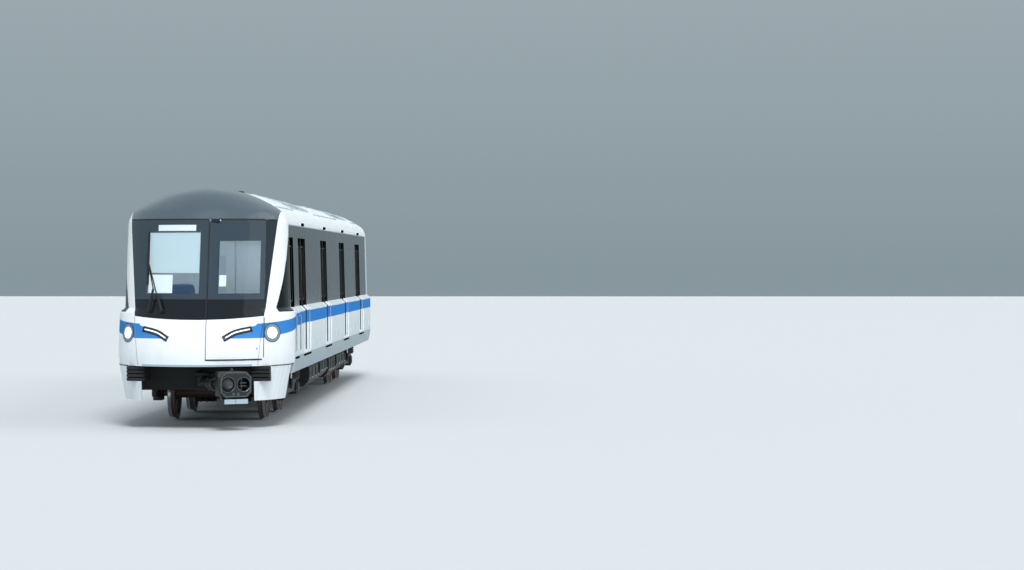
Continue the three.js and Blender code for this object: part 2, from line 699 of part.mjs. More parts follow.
// Headstock behind the coupler's pivot, with an arm to each ribbed anti-climber.
const COUPLER = { pivot: [0, 900, 700], pin: 35, pinReach: 100, length: 1280, swing: 31.5 };
const HEADSTOCK = { half: 1125, front: 1000, rear: 1200, z: [560, FLOOR_BOTTOM - TOUCH] };
const LUG = { half: 110, reach: 90, z: [90, 140] };
const CLIMBER_RIB = { count: 4, depth: 60, gap: 9 };
const ROOT = 5;                   // length that a rib or lug shares with what carries it

function headstock() {
  const [, pivotY, pivotZ] = COUPLER.pivot;
  const { half, front, rear, z } = HEADSTOCK;
  const pieces = [box(around(0, half), [front, rear], z)];
  const backplate = CLIMBER.front + CLIMBER_RIB.depth;
  const pitch = (CLIMBER.z[1] - CLIMBER.z[0]) / CLIMBER_RIB.count;
  for (const side of [-1, 1]) {
    const span = CLIMBER.x.map((x) => side * x).sort((a, b) => a - b);
    pieces.push(box(span, [backplate, front + ROOT], CLIMBER.z));
    for (let index = 0; index < CLIMBER_RIB.count; index += 1) {
      const middle = CLIMBER.z[0] + (index + 0.5) * pitch;
      pieces.push(box(span, [CLIMBER.front, backplate + ROOT], around(middle, pitch / 2 - CLIMBER_RIB.gap)));
    }
    const heights = LUG.z.map((rise) => pivotZ + side * rise).sort((a, b) => a - b);
    pieces.push(box(around(0, LUG.half), [pivotY - LUG.reach, front + ROOT], heights));
  }
  const [low, high] = around(pivotZ, COUPLER.pinReach);
  pieces.push(rod([0, pivotY, low], [0, pivotY, high], COUPLER.pin, 20));
  return joined(pieces);
}

// Coupler head, drawn pointing straight ahead. Seen from the front, its face has eight sides, with a cone
// in a round dish on one half and a round socket in the other.
const HEAD = { half: 275, rise: 195, corner: 80, bevel: 20, plate: 70, waist: [150, 350], neck: [130, 480] };
const CONE = { x: -135, radius: 62, reach: 60, dish: 115, dishDepth: 25 };
const SOCKET = { x: 135, radius: 105, depth: 150 };
const PAD = { half: 205, z: [-302, -222], depth: 260, proud: 8, armHalf: 60, armFront: 120 };
const SHAFT = { radius: 85, collar: 120, collarSpan: [-560, -420], eye: 95, eyeHalf: 80 };
const GROWN = 10;                 // length by which a cutting body runs past what it cuts

function couplerHead(face) {
  const { half, rise, corner, bevel, plate, waist, neck } = HEAD;
  const plan = [
    [half - bevel, face], [half, face + bevel], [half, face + plate],
    [waist[0], face + waist[1]], [neck[0], face + neck[1]],
  ];
  const mirrored = plan.map(([x, y]) => [-x, y]).reverse();
  const sides = rise - corner - GROWN;
  const top = half - corner - GROWN;
  const front = [[half + GROWN, sides], [top, rise + GROWN], [-top, rise + GROWN], [-half - GROWN, sides]];
  const below = front.map(([x, z]) => [x, -z]).reverse();
  return prismAlongZ([...plan, ...mirrored], around(0, rise))
    .intersect(prismAlongY([...front, ...below], [face - GROWN, face + neck[1] + GROWN]));
}

function frontCoupler() {
  const face = -COUPLER.length;
  const pad = box(around(0, PAD.half), [face - PAD.proud, face + PAD.depth], PAD.z);
  const padArm = box(
    around(0, PAD.armHalf),
    [face + PAD.armFront, face + PAD.depth - GROWN],
    [PAD.z[1] - ROOT, ROOT - HEAD.rise]);
  const shaft = rod([0, face + HEAD.neck[1] - GROWN, 0], [0, ROOT - SHAFT.eye, 0], SHAFT.radius, 16);
  const [collarFront, collarRear] = SHAFT.collarSpan;
  const collar = rod([0, collarFront, 0], [0, collarRear, 0], SHAFT.collar, 16);
  const eye = rod([0, 0, -SHAFT.eyeHalf], [0, 0, SHAFT.eyeHalf], SHAFT.eye, 20);
  const body = joined([couplerHead(face), pad, padArm, shaft, collar, eye]);
  const bored = cut(body, [
    rod([SOCKET.x, face - GROWN, 0], [SOCKET.x, face + SOCKET.depth, 0], SOCKET.radius, 20),
    rod([CONE.x, face - GROWN, 0], [CONE.x, face + CONE.dishDepth, 0], CONE.dish, 20),
    rod([0, 0, -HEAD.rise], [0, 0, HEAD.rise], boreRadius(COUPLER.pin, 20), 20),
  ]);
  const cone = rod([CONE.x, face - CONE.reach, 0], [CONE.x, face + CONE.reach, 0], CONE.radius, 16);
  return joined([bored, cone]).rotate([0, 0, COUPLER.swing]).translate(COUPLER.pivot);
}

const DRAWBAR = {
  height: 710, front: 19300, end: 20255, beamHalf: 110, beamDrop: 80, plate: 30, plateHalf: 200,
};
const DRAWBAR_SEAT = { half: 190, rear: 19500, rise: 30 };

function rearDrawbar() {
  const { height, end, front, beamHalf, beamDrop, plate, plateHalf } = DRAWBAR;
  const top = SOLE_BOTTOM - TOUCH;
  return joined([
    box(around(0, beamHalf), [front, end - plate + ROOT], [height - beamDrop, top]),
    box(around(0, plateHalf), [end - plate, end], around(height, 150)),
    box(around(0, DRAWBAR_SEAT.half), [front, DRAWBAR_SEAT.rear], [height + DRAWBAR_SEAT.rise, top]),
  ]);
}

// Roof, ends and roof equipment

const AIR_UNITS = [[5100, 8600], [14400, 17900]];
const AIR_UNIT_HALF = 1000;
const AIR_UNIT_BOTTOM = 3450;
const LAMP_HEIGHT = [CANTRAIL + TOUCH, 3258];

function mirroredOutline(halfOutline) {
  return [...halfOutline, ...halfOutline.map(([x, z]) => [-x, z]).reverse()];
}

function roofSkin(bottom) {
  const crown = SECTIONS[SECTIONS.length - 1][HEIGHT];
  return mirroredOutline(skinLine(0, [bottom, crown]));
}

// Outline of the ceiling, from one side wall to the other.
const CEILING_LINE = [
  [-LINING_TOP, CANTRAIL + TOUCH], [-COVE_TOP, CEILING], [COVE_TOP, CEILING], [LINING_TOP, CANTRAIL + TOUCH],
];

function roof() {
  const body = prismAlongY([...roofSkin(CANTRAIL + TOUCH), ...CEILING_LINE], [WALL_START, WALL_END]);
  const wells = AIR_UNITS.map(([front, rear]) => box(
    [-AIR_UNIT_HALF - TOUCH, AIR_UNIT_HALF + TOUCH],
    [front - TOUCH, rear + TOUCH],
    [AIR_UNIT_BOTTOM - TOUCH, 4000],
  ));
  const lamps = [];
  for (const centre of DOORWAY_CENTRES) {
    for (const side of [-1, 1]) {
      const reach = [1230 * side, 1330 * side].sort((a, b) => a - b);
      lamps.push(box(reach, around(centre, 45), LAMP_HEIGHT));
    }
  }
  return joined([cut(body, wells), ...lamps]);
}

// Air-conditioning unit: its top follows the roof, and its flanks hold sunk grilles.
const UNIT = { proud: 15, shoulder: 3540, grilles: 5, inset: 100, bar: 40 };
const GRILLE_SECTION = [[800, 3611], [800, 3700], [1010, 3700], [1010, 3530], [955, 3530]];

function airUnit([front, rear]) {
  const arc = SECTIONS.filter((row) => row[HALF_WIDTH] < AIR_UNIT_HALF)
    .map((row) => [row[HALF_WIDTH], row[HEIGHT] + UNIT.proud]);
  const rightHalf = [[AIR_UNIT_HALF, AIR_UNIT_BOTTOM], [AIR_UNIT_HALF, UNIT.shoulder], ...arc];
  const body = prismAlongY(mirroredOutline(rightHalf), [front, rear]);
  const grilles = [];
  const pitch = (rear - front - 2 * UNIT.inset) / UNIT.grilles;
  for (let index = 0; index < UNIT.grilles; index += 1) {
    const span = around(front + UNIT.inset + pitch * (index + 0.5), pitch / 2 - UNIT.bar);
    for (const side of [-1, 1]) {
      grilles.push(prismAlongY(GRILLE_SECTION.map(([x, z]) => [side * x, z]), span));
    }
  }
  return cut(body, grilles);
}

const END_OPENING = { half: 650, top: 3060 };
const REAR_CUT = [CAR_END - 1000, CAR_END + 1000];

function rearEndWall() {
  const wall = prismAlongY(roofSkin(SOLE_BOTTOM), [WALL_END + TOUCH, CAR_END]);
  return wall.subtract(box(around(0, END_OPENING.half), REAR_CUT, [FLOOR, END_OPENING.top]));
}

// Half gangway: bellows folds round the passage, ending in a flat frame.
// Columns of the folds: front and rear behind the end wall, half width.
const FOLDS = [
  [0, 40, 800], [38, 80, 835], [78, 120, 800], [118, 160, 835], [158, 200, 800], [198, 255, 845],
];
const FOLD_LOW = 1850;            // a fold reaches its half width below this height
const FOLD_HIGH = 2400;           // and above this one

function gangway() {
  const front = CAR_END + TOUCH;
  const rings = FOLDS.map(([from, to, reach]) => box(
    around(0, reach), [front + from, front + to], [FOLD_LOW - reach, FOLD_HIGH + reach]));
  return joined(rings).subtract(
    box(around(0, END_OPENING.half - 10), REAR_CUT, [FLOOR, END_OPENING.top - 10]));
}

// Cab partition with its door

const PARTITION = { front: 2550, rear: 2600 };
const PARTITION_CUT = [2000, 3000];
const PASSAGE = { half: 350, top: 2950 };
const PASSAGE_HINGE = [-352, 2614];
const PASSAGE_PIN = 6;
const PASSAGE_BARREL = 11;
const PASSAGE_HINGES = [[1350, 1450], [2600, 2700]];

function cabPartition() {
  const { front, rear } = PARTITION;
  const outline = mirroredOutline([
    [WALL_INNER - TOUCH, FLOOR + TOUCH], [WALL_INNER - TOUCH, LEDGE_LOW],
    [LINING_LOW - TOUCH, LEDGE_TOP], [LINING_TOP - TOUCH, CANTRAIL], [COVE_TOP, CEILING - TOUCH],
  ]);
  const passage = box(around(0, PASSAGE.half), PARTITION_CUT, [FLOOR - 10, PASSAGE.top]);
  const pieces = [prismAlongY(outline, [front, rear]).subtract(passage)];
  const [x, y] = PASSAGE_HINGE;
  for (const [low, high] of PASSAGE_HINGES) {
    pieces.push(rod([x, y, low - 25], [x, y, high + 25], PASSAGE_PIN, 12));
    for (const [from, to] of [[low - 25, low - RUN], [high + RUN, high + 25]]) {
      pieces.push(box([x - 30, x + PASSAGE_PIN], [rear - 5, y + PASSAGE_PIN], [from, to]));
    }
  }
  return joined(pieces);
}

function passageDoor() {
  const [x, y] = PASSAGE_HINGE;
  const leaf = box(
    [-PASSAGE.half + 8, PASSAGE.half - 14],
    [PARTITION.front + 5, PARTITION.rear - 3],
    [FLOOR + 8, PASSAGE.top - 8]);
  const window = box(around(0, 180), PARTITION_CUT, [2000, 2700]);
  const pieces = [leaf.subtract(window)];
  for (const [low, high] of PASSAGE_HINGES) {
    pieces.push(rod([x, y, low], [x, y, high], PASSAGE_BARREL, 12));
    pieces.push(box([x + 6, x + 40], [y - 24, y + PASSAGE_BARREL - 2], [low, high]));
  }
  const bore = rod([x, y, 1000], [x, y, 3100], boreRadius(PASSAGE_PIN, 12), 12);
  return joined(pieces).subtract(bore);
}

// Driver's place behind the windscreen

const DESK = { x: [-900, 120], kneeX: [-700, -200], kneeTop: 1720 };
const SEAT = {
  x: -450, y: 1560, cushionHalf: 235, backHalf: 225, column: 60, columnTop: 1530, foot: 200, footTop: 30,
};

function driverDesk() {
  const desk = prismAlongX([
    [800, FLOOR + TOUCH], [1150, FLOOR + TOUCH], [1150, 1760], [1300, 1800], [1300, 1860],
    [960, 1950], [800, 1950],
  ], DESK.x);
  return desk.subtract(box(DESK.kneeX, [900, 1400], [FLOOR - GROWN, DESK.kneeTop]));
}

function driverSeat() {
  const { x, y } = SEAT;
  const cushion = prismAlongX([
    [y - 210, 1520], [y + 240, 1500], [y + 250, 1590], [y - 180, 1610], [y - 225, 1580],
  ], around(x, SEAT.cushionHalf));
  const back = prismAlongX([
    [y + 190, 1520], [y + 260, 1500], [y + 370, 2200], [y + 350, 2260], [y + 290, 2240],
  ], around(x, SEAT.backHalf));
  const column = rod([x, y, FLOOR + TOUCH], [x, y, SEAT.columnTop], SEAT.column, 12);
  const foot = rod([x, y, FLOOR + TOUCH], [x, y, FLOOR + SEAT.footTop], SEAT.foot, 12);
  return joined([cushion, back, column, foot]);
}

// Running gear

const WHEEL_SIDES = 20;
const AXLE_BOX = { x: [940, 1090], half: 130, z: [290, 500] };
const SIDE_FRAME = { x: [930, 1080] };
const TRANSOM = { half: 200, x: 940, z: [380, 600] };
const AIR_SPRING = { x: 1000, radius: 230, top: SOLE_BOTTOM - RUN };
const JOURNAL = { radius: 65, sides: WHEEL_SIDES, end: 1075 };

function bogieFrame(centre) {
  const pieces = [];
  for (const side of [-1, 1]) {
    const frameSpan = SIDE_FRAME.x.map((x) => side * x).sort((a, b) => a - b);
    const boxSpan = AXLE_BOX.x.map((x) => side * x).sort((a, b) => a - b);
    const outline = [
      [-1330, 490], [-800, 490], [-600, 370], [600, 370], [800, 490], [1330, 490],
      [1330, 560], [640, 605], [-640, 605], [-1330, 560],
    ].map(([y, z]) => [y + centre, z]);
    pieces.push(prismAlongX(outline, frameSpan));
    for (const axle of [-HALF_WHEELBASE, HALF_WHEELBASE]) {
      pieces.push(box(boxSpan, around(centre + axle, AXLE_BOX.half), AXLE_BOX.z));
    }
    const springX = side * AIR_SPRING.x;
    pieces.push(rod([springX, centre, 595], [springX, centre, AIR_SPRING.top], AIR_SPRING.radius, 16));
    pieces.push(box(around(0, 520), around(centre + side * 260, 80), [400, 520]));
    pieces.push(rod([-480, centre + side * 470, 420], [480, centre + side * 470, 420], 190, 12));
  }
  pieces.push(box(around(0, TRANSOM.x), around(centre, TRANSOM.half), TRANSOM.z));
  const bores = [-1, 1].map((end) => rod(
    [-1200, centre + end * HALF_WHEELBASE, WHEEL_RADIUS], [1200, centre + end * HALF_WHEELBASE, WHEEL_RADIUS],
    boreRadius(JOURNAL.radius, JOURNAL.sides), JOURNAL.sides));
  const pivotBore = rod([0, centre, 0], [0, centre, 700], boreRadius(PIVOT.radius, PIVOT.sides), PIVOT.sides);
  return cut(joined(pieces), [...bores, pivotBore]);
}

// Half profile of the wheelset, from the middle outwards. Columns: radius, distance along the axle.
const WHEELSET_PROFILE = [
  [85, 0], [85, 722], [360, 722], [360, 682], [448, 686], [448, 702], [420, 722],
  [416, 815], [360, 815], [360, 766], [90, 766], [65, 850], [65, JOURNAL.end], [0, JOURNAL.end],
];

// The wheel's facets touch the true circle, so that the flange tips stand at the right height.
function wheelset(y) {
  const scale = 1 / Math.cos(Math.PI / WHEEL_SIDES);
  const half = WHEELSET_PROFILE.map(([radius, along]) => [radius > 200 ? radius * scale : radius, along]);
  const rest = half.slice(1).map(([radius, along]) => [radius, -along]).reverse();
  const profile = [...rest, ...half].map(([radius, along]) => new THREE.Vector2(radius, along));
  const geometry = new THREE.LatheGeometry(profile, WHEEL_SIDES);
  geometry.rotateY(Math.PI / WHEEL_SIDES);
  geometry.rotateZ(-Math.PI / 2);
  geometry.translate(0, y, WHEEL_RADIUS);
  return solidOf(geometry);
}

addPiece('underframe', underframe(), 'black');
addPiece('roof', roof(), 'white');
addPiece('rear_end_wall', rearEndWall(), 'white');
addPiece('gangway', gangway(), 'rubber');
addPiece('cab_partition', cabPartition(), 'grey');
addPiece('passage_door', passageDoor(), 'grey');
addPiece('driver_desk', driverDesk(), 'black');
addPiece('driver_seat', driverSeat(), 'seat');
AIR_UNITS.forEach((span, index) => {
  addPiece(`air_unit_${index + 1}`, airUnit(span), 'grey');
});
CASES.forEach((row, index) => {
  addPiece(`underfloor_case_${index + 1}`, underfloorCase(row), 'black');
});
addPiece('headstock', headstock(), 'black');
addPiece('front_coupler', frontCoupler(), 'steel');
addPiece('rear_drawbar', rearDrawbar(), 'steel');
BOGIE_CENTRES.forEach((centre, index) => {
  addPiece(`bogie_frame_${index + 1}`, bogieFrame(centre), 'black');
  addPiece(`wheelset_${index + 1}_front`, wheelset(centre - HALF_WHEELBASE), 'steel');
  addPiece(`wheelset_${index + 1}_rear`, wheelset(centre + HALF_WHEELBASE), 'steel');
});

export default train;
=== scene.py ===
"""Looks of a metro train's driving car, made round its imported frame.

Lengths are in metres. Places along the car count from the foremost point of the nose, and heights from the
top of the rail, as on a drawing of the car. place() turns them into the frame's own coordinates.
"""

import json
import logging
import math
from dataclasses import dataclass, field
from enum import Enum
from typing import Mapping, Sequence

import bmesh
import bpy
from mathutils import Matrix, Vector

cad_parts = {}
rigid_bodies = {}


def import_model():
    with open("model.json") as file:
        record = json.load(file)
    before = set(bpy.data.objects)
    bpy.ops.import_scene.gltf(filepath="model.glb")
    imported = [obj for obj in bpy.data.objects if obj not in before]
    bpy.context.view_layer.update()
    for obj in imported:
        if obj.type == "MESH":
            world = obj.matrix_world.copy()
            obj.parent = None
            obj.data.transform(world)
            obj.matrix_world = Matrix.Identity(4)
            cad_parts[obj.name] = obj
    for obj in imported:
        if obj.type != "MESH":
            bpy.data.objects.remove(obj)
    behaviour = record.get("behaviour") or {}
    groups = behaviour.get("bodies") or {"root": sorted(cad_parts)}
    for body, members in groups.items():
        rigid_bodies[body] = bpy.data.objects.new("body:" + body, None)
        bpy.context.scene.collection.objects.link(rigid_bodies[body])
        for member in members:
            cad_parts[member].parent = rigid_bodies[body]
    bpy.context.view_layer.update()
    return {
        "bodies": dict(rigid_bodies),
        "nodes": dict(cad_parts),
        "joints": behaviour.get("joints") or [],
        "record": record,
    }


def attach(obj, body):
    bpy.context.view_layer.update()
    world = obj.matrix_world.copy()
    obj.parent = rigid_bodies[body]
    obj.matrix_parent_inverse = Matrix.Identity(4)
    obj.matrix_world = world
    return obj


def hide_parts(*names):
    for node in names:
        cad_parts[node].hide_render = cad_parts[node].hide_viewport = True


LOG = logging.getLogger("driving_car")

NOSE_Y = -9.95523                  # frame coordinate of the nose's foremost point
RAIL = 0.028                       # frame height of the rail's top
CAR_BODY = "car_body"
SIDES = {"left": 1, "right": -1}   # the train's own left is +X
DOORWAY_CENTRES = (3.98, 8.34, 12.70, 17.06)
DOORWAY_PITCH = 4.36
DOORWAY_HALF = 0.65
LEDGE_LOW, LEDGE_TOP = 1.79, 1.865
CANTRAIL = 3.2
LEAF_FACE = 0.030                  # the sliding leaves' face lies this far behind the skin
CAB_DOOR = (1.87, 2.50)            # front and rear of the cab's side doors
CEILING = 3.28
MASK_TOP = 3.27
MASK_FOOT, MASK_FOOT_HALF, MASK_SPREAD = 1.74, 1.02, 0.1   # the dark mask widens upwards from its foot
CAR_END = 20.0
LEFTWARD = Vector((1.0, 0.0, 0.0))
REARWARD = Vector((0.0, 1.0, 0.0))
UP = Vector((0.0, 0.0, 1.0))

# Body sections. Columns: height, half width, distance of the nose front behind the foremost point.
SECTIONS = (
    (0.420, 1.290, 0.020), (0.800, 1.355, 0.000), (0.950, 1.385, 0.000), (1.100, 1.400, 0.000),
    (1.200, 1.400, 0.000), (1.470, 1.400, 0.045), (1.740, 1.400, 0.120), (1.790, 1.400, 0.135),
    (1.865, 1.320, 0.157), (3.200, 1.285, 0.549), (3.270, 1.271, 0.570), (3.385, 1.220, 0.660),
    (3.450, 1.140, 0.711), (3.550, 0.971, 0.810), (3.650, 0.762, 0.950), (3.720, 0.561, 1.110),
    (3.770, 0.346, 1.300), (3.799, 0.060, 1.490),
)
NOSE_DEPTH, CURVE_END = 1.5, 1.72


class Slot(Enum):
    """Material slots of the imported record."""

    WHITE = "white_paint"
    GLASS = "tinted_glass"
    LAMP = "lamp_glass"
    BLACK = "black_paint"
    LINING = "grey_lining"
    DESK = "desk_plastic"
    SEAT = "seat_cloth"
    BELLOWS = "bellows_rubber"
    STEEL = "bare_steel"


def place(x: float, y: float, z: float) -> Vector:
    """Turns a place on the car's drawing into the frame.

    Args:
        x: Distance to the train's left of its centre plane.
        y: Distance behind the foremost point of the nose.
        z: Height above the rail.

    Returns:
        The point in the frame.
    """
    return Vector((x, y + NOSE_Y, z + RAIL))


def section_value(z: float, column: int) -> float:
    """Reads one column of the body sections at a height.

    Args:
        z: Height above the rail.
        column: 1 for the half width, 2 for the nose front.

    Returns:
        The value, in a straight line between the two sections.
    """
    for low, high in zip(SECTIONS, SECTIONS[1:]):
        if z <= high[0]:
            share = max(0.0, (z - low[0]) / (high[0] - low[0]))
            return low[column] + share * (high[column] - low[column])
    return SECTIONS[-1][column]


def nose_depth(x: float, z: float) -> float:
    """Gives how far behind the foremost point the nose's skin lies at a place seen from the front."""
    half_width = section_value(z, 1)
    front = section_value(z, 2)
    across = min(1.0, abs(x) / half_width)
    depth = min(NOSE_DEPTH, CURVE_END - front)
    return front + depth * (1.0 - math.sqrt(1.0 - across * across))


def mask_edge(z: float) -> float:
    """Gives the half width of the dark mask at a height."""
    return MASK_FOOT_HALF + (z - MASK_FOOT) * MASK_SPREAD


def on_nose(x: float, z: float, proud: float = 0.0) -> Vector:
    """Gives a point of the nose's skin seen from the front, moved outwards by a distance."""
    return place(x, nose_depth(x, z), z) + nose_normal(x, z) * proud


def nose_normal(x: float, z: float) -> Vector:
    """Gives the nose's outward direction at a place seen from the front."""
    step = 0.004
    farthest = 1.2                 # farther out the skin turns too steep to measure a slope
    side = min(max(x, -farthest), farthest)
    slope_x = (nose_depth(side + step, z) - nose_depth(side - step, z)) / (2 * step)
    slope_z = (nose_depth(side, z + step) - nose_depth(side, z - step)) / (2 * step)
    return Vector((slope_x, -1.0, slope_z)).normalized()


def nose_hit(start: Vector, direction: Vector) -> Vector:
    """Finds where a line from inside the nose leaves its skin.

    Args:
        start: Point inside the nose, in the frame.
        direction: Unit direction outwards.

    Returns:
        The point on the skin, in the frame.
    """
    low, high = 0.0, 1.6
    halvings = 30
    for _ in range(halvings):
        middle = (low + high) / 2
        point = start + direction * middle
        z = point.z - RAIL
        inside = abs(point.x) < section_value(z, 1) and point.y - NOSE_Y > nose_depth(point.x, z)
        low, high = (middle, high) if inside else (low, middle)
    return start + direction * low


def on_side(side: int, y: float, z: float, proud: float = 0.0) -> Vector:
    """Gives a point of the side's skin, moved outwards by a distance."""
    return place(side * (section_value(z, 1) + proud), y, z)


def circle(centre: Vector, across: Vector, other: Vector, radius: float, steps: int) -> list[Vector]:
    """Gives the points of a circle in the plane of two crossing directions."""
    turns = [math.tau * step / steps for step in range(steps)]
    return [centre + radius * (math.cos(turn) * across + math.sin(turn) * other) for turn in turns]


def square_to(axis: Vector) -> tuple[Vector, Vector]:
    """Gives two directions that are square to an axis and to each other."""
    across = axis.orthogonal().normalized()
    return across, axis.cross(across)


def directions(path: Sequence[Vector], closed: bool) -> list[Vector]:
    """Gives the way that a path runs at each of its points, from the point before to the one after.

    Args:
        path: Points of the path in order.
        closed: Whether the last point is followed by the first.

    Returns:
        One direction for each point, not of unit length.
    """
    before = [path[-1] if closed else path[0], *path[:-1]]
    after = [*path[1:], path[0] if closed else path[-1]]
    return [end - start for start, end in zip(before, after)]


def rounded_outline(span: Sequence[float], heights: Sequence[float], radius: float,
                    steps: int) -> list[tuple[float, float]]:
    """Gives the outline of a rectangle with rounded corners.

    Args:
        span: Its lowest and highest place across.
        heights: Its lowest and highest height.
        radius: Radius of its corners.
        steps: Number of facets in each corner.

    Returns:
        The points in order, each as its place across and its height.
    """
    (left, right), (low, high) = span, heights
    points = []
    for x, z, start in ((right - radius, high - radius, 0), (left + radius, high - radius, 90),
                        (left + radius, low + radius, 180), (right - radius, low + radius, 270)):
        for step in range(steps + 1):
            turn = math.radians(start + 90 * step / steps)
            points.append((x + radius * math.cos(turn), z + radius * math.sin(turn)))
    return points


@dataclass
class Mould:
    """Collects the simple closed solids of one piece in one mesh."""

    mesh: bmesh.types.BMesh = field(default_factory=bmesh.new)

    def loft(self, rings: Sequence[Sequence[Vector]], closed: bool = False) -> None:
        """Joins rings of points into a closed skin.

        Args:
            rings: Rings with equal numbers of points.
            closed: Whether the last ring meets the first one. Otherwise both ends get a cap.
        """
        made = [[self.mesh.verts.new(point) for point in ring] for ring in rings]
        pairs = list(zip(made, made[1:]))
        if closed:
            pairs.append((made[-1], made[0]))
        count = len(rings[0])
        for low, high in pairs:
            for here in range(count):
                after = (here + 1) % count
                self.mesh.faces.new((low[here], low[after], high[after], high[here]))
        if not closed:
            self.mesh.faces.new(made[0][::-1])
            self.mesh.faces.new(made[-1])

    def block(self, low: Vector, high: Vector, bevel: float = 0.0) -> None:
        """Adds a box between two corners, with its edges rounded by a bevel."""
        size = high - low
        spot = Matrix.Translation((low + high) / 2) @ Matrix.Diagonal((*size, 1.0))
        made = bmesh.ops.create_cube(self.mesh, size=1.0, matrix=spot)
        if bevel:
            edges = {edge for vert in made["verts"] for edge in vert.link_edges}
            bmesh.ops.bevel(
                self.mesh, geom=list(edges), offset=bevel, segments=2, profile=0.5, affect="EDGES")

    def sweep(self, path: Sequence[Vector], radius: float, sides: int = 8, closed: bool = False) -> None:
        """Adds a round tube along a path."""
        rings = []
        across = None
        for point, way in zip(path, directions(path, closed)):
            along = way.normalized()
            if across is None:
                across = along.orthogonal()
            across = (across - along * across.dot(along)).normalized()
            rings.append(circle(point, across, along.cross(across), radius, sides))
        self.loft(rings, closed)

    def ribbon(self, path: Sequence[Vector], normals: Sequence[Vector], width: float, proud: float,
               sink: float = 0.006, closed: bool = False) -> None:
        """Adds a flat strip that lies on a surface.

        Args:
            path: Points on the surface.
            normals: Outward direction of the surface at each point.
            width: Width of the strip.
            proud: Height above the surface.
            sink: Depth below the surface, which seats the strip in it.
            closed: Whether the strip meets its own start.
        """
        rings = []
        for point, normal, way in zip(path, normals, directions(path, closed)):
            across = way.cross(normal).normalized() * (width / 2)
            rings.append([
                point - across - normal * sink, point + across - normal * sink,
                point + across + normal * proud, point - across + normal * proud,
            ])
        self.loft(rings, closed)

    def lathe(self, profile: Sequence[tuple[float, float]], centre: Vector, axis: Vector,
              steps: int = 48) -> None:
        """Turns a profile about an axis.

        Args:
            profile: Radius and distance along the axis, from the axis back to the axis.
            centre: Point where the distance along the axis is nought.
            axis: Direction of the axis.
            steps: Number of facets round the axis.
        """
        axis = axis.normalized()
        tiny = 1e-4
        self.loft([circle(centre + axis * along, *square_to(axis), max(radius, tiny), steps)
                   for radius, along in profile])

    def bar(self, start: Vector, end: Vector, radius: float, sides: int = 16, bevel: float = 0.0) -> None:
        """Adds a round bar between two points, with its rims rounded by a bevel."""
        along = end - start
        length = along.length
        profile = [(radius, 0.0), (radius, length)]
        if bevel:
            profile = [(radius - bevel, 0.0), (radius, bevel), (radius, length - bevel),
                       (radius - bevel, length)]
        self.lathe(profile, start, along, sides)

    def ring(self, centre: Vector, axis: Vector, radius: float, thickness: float, steps: int = 32,
             sides: int = 8) -> None:
        """Adds a round ring of round wire."""
        path = circle(centre, *square_to(axis.normalized()), radius, steps)
        self.sweep(path, thickness / 2, sides, closed=True)

    def hoop(self, section: Sequence[tuple[float, float]], centre: Vector, axis: Vector) -> None:
        """Turns a closed section, given as radius and distance along, about an axis of unit length."""
        steps = 72
        rounds = [circle(centre + axis * along, *square_to(axis), radius, steps) for radius, along in section]
        self.loft([list(ring) for ring in zip(*rounds)], closed=True)

    def prism(self, outline: Sequence[Vector], depth: Vector) -> None:
        """Adds a flat outline drawn out by a vector."""
        self.loft([list(outline), [point + depth for point in outline]])


def finish_piece(mould: Mould, name: str, finish: bpy.types.Material, body: str = CAR_BODY,
                 stands_for: Sequence[str] = (), sharp_angle: float = 32.0) -> bpy.types.Object:
    """Turns a mould into a piece that rides on a body.

    Args:
        mould: The piece's solids.
        name: The piece's name.
        finish: Its material.
        body: The body that it moves with.
        stands_for: Frame nodes that it takes the place of.
        sharp_angle: Edges that bend more than this stay sharp, in degrees.

    Returns:
        The piece.
    """
    bmesh.ops.recalc_face_normals(mould.mesh, faces=mould.mesh.faces)
    data = bpy.data.meshes.new(name)
    mould.mesh.to_mesh(data)
    mould.mesh.free()
    data.shade_smooth()
    data.set_sharp_from_angle(angle=math.radians(sharp_angle))
    data.materials.append(finish)
    piece = bpy.data.objects.new(name, data)
    bpy.context.scene.collection.objects.link(piece)
    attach(piece, body)
    if stands_for:
        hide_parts(*stands_for)
    LOG.info("%s: %d faces on %s", name, len(data.polygons), body)
    return piece


def linear(code: str, alpha: float = 1.0) -> tuple[float, float, float, float]:
    """Turns an sRGB hex colour into the linear values that the shaders work in.

    Args:
        code: Six hex digits after a hash sign.
        alpha: Opacity.

    Returns:
        Red, green, blue and alpha.
    """
    parts = [int(code[start:start + 2], 16) / 255 for start in (1, 3, 5)]
    values = [part / 12.92 if part <= 0.04045 else ((part + 0.055) / 1.055) ** 2.4 for part in parts]
    return values[0], values[1], values[2], alpha


def add_node(tree: bpy.types.NodeTree, kind: str, inputs: Mapping[str | int, object] | None = None,
             **settings: object) -> bpy.types.Node:
    """Adds a node with its settings, values and links.

    Args:
        tree: Tree that the node goes into.
        kind: The node's type.
        inputs: For each socket, by name or number, a value or the socket that feeds it.
        settings: The node's own settings.

    Returns:
        The node.
    """
    node = tree.nodes.new(kind)
    for name, value in settings.items():
        setattr(node, name, value)
    for key, value in (inputs or {}).items():
        if isinstance(value, bpy.types.NodeSocket):
            tree.links.new(value, node.inputs[key])
        else:
            node.inputs[key].default_value = value
    return node


Sums = Sequence[tuple[str, str, str | float, str | float]]


def between(result: str, value: str, low: str | float, high: str | float) -> Sums:
    """Gives the sums that tell whether a value lies between two others.

    Args:
        result: Name of the sum that is one inside and nought outside.
        value: Name of the value.
        low: The lower bound, a number or the name of a value.
        high: The upper bound, a number or the name of a value.

    Returns:
        The rows of sums.
    """
    over, under = f"{result}_over", f"{result}_under"
    return (
        (over, "GREATER_THAN", value, low),
        (under, "LESS_THAN", value, high),
        (result, "MULTIPLY", over, under),
    )


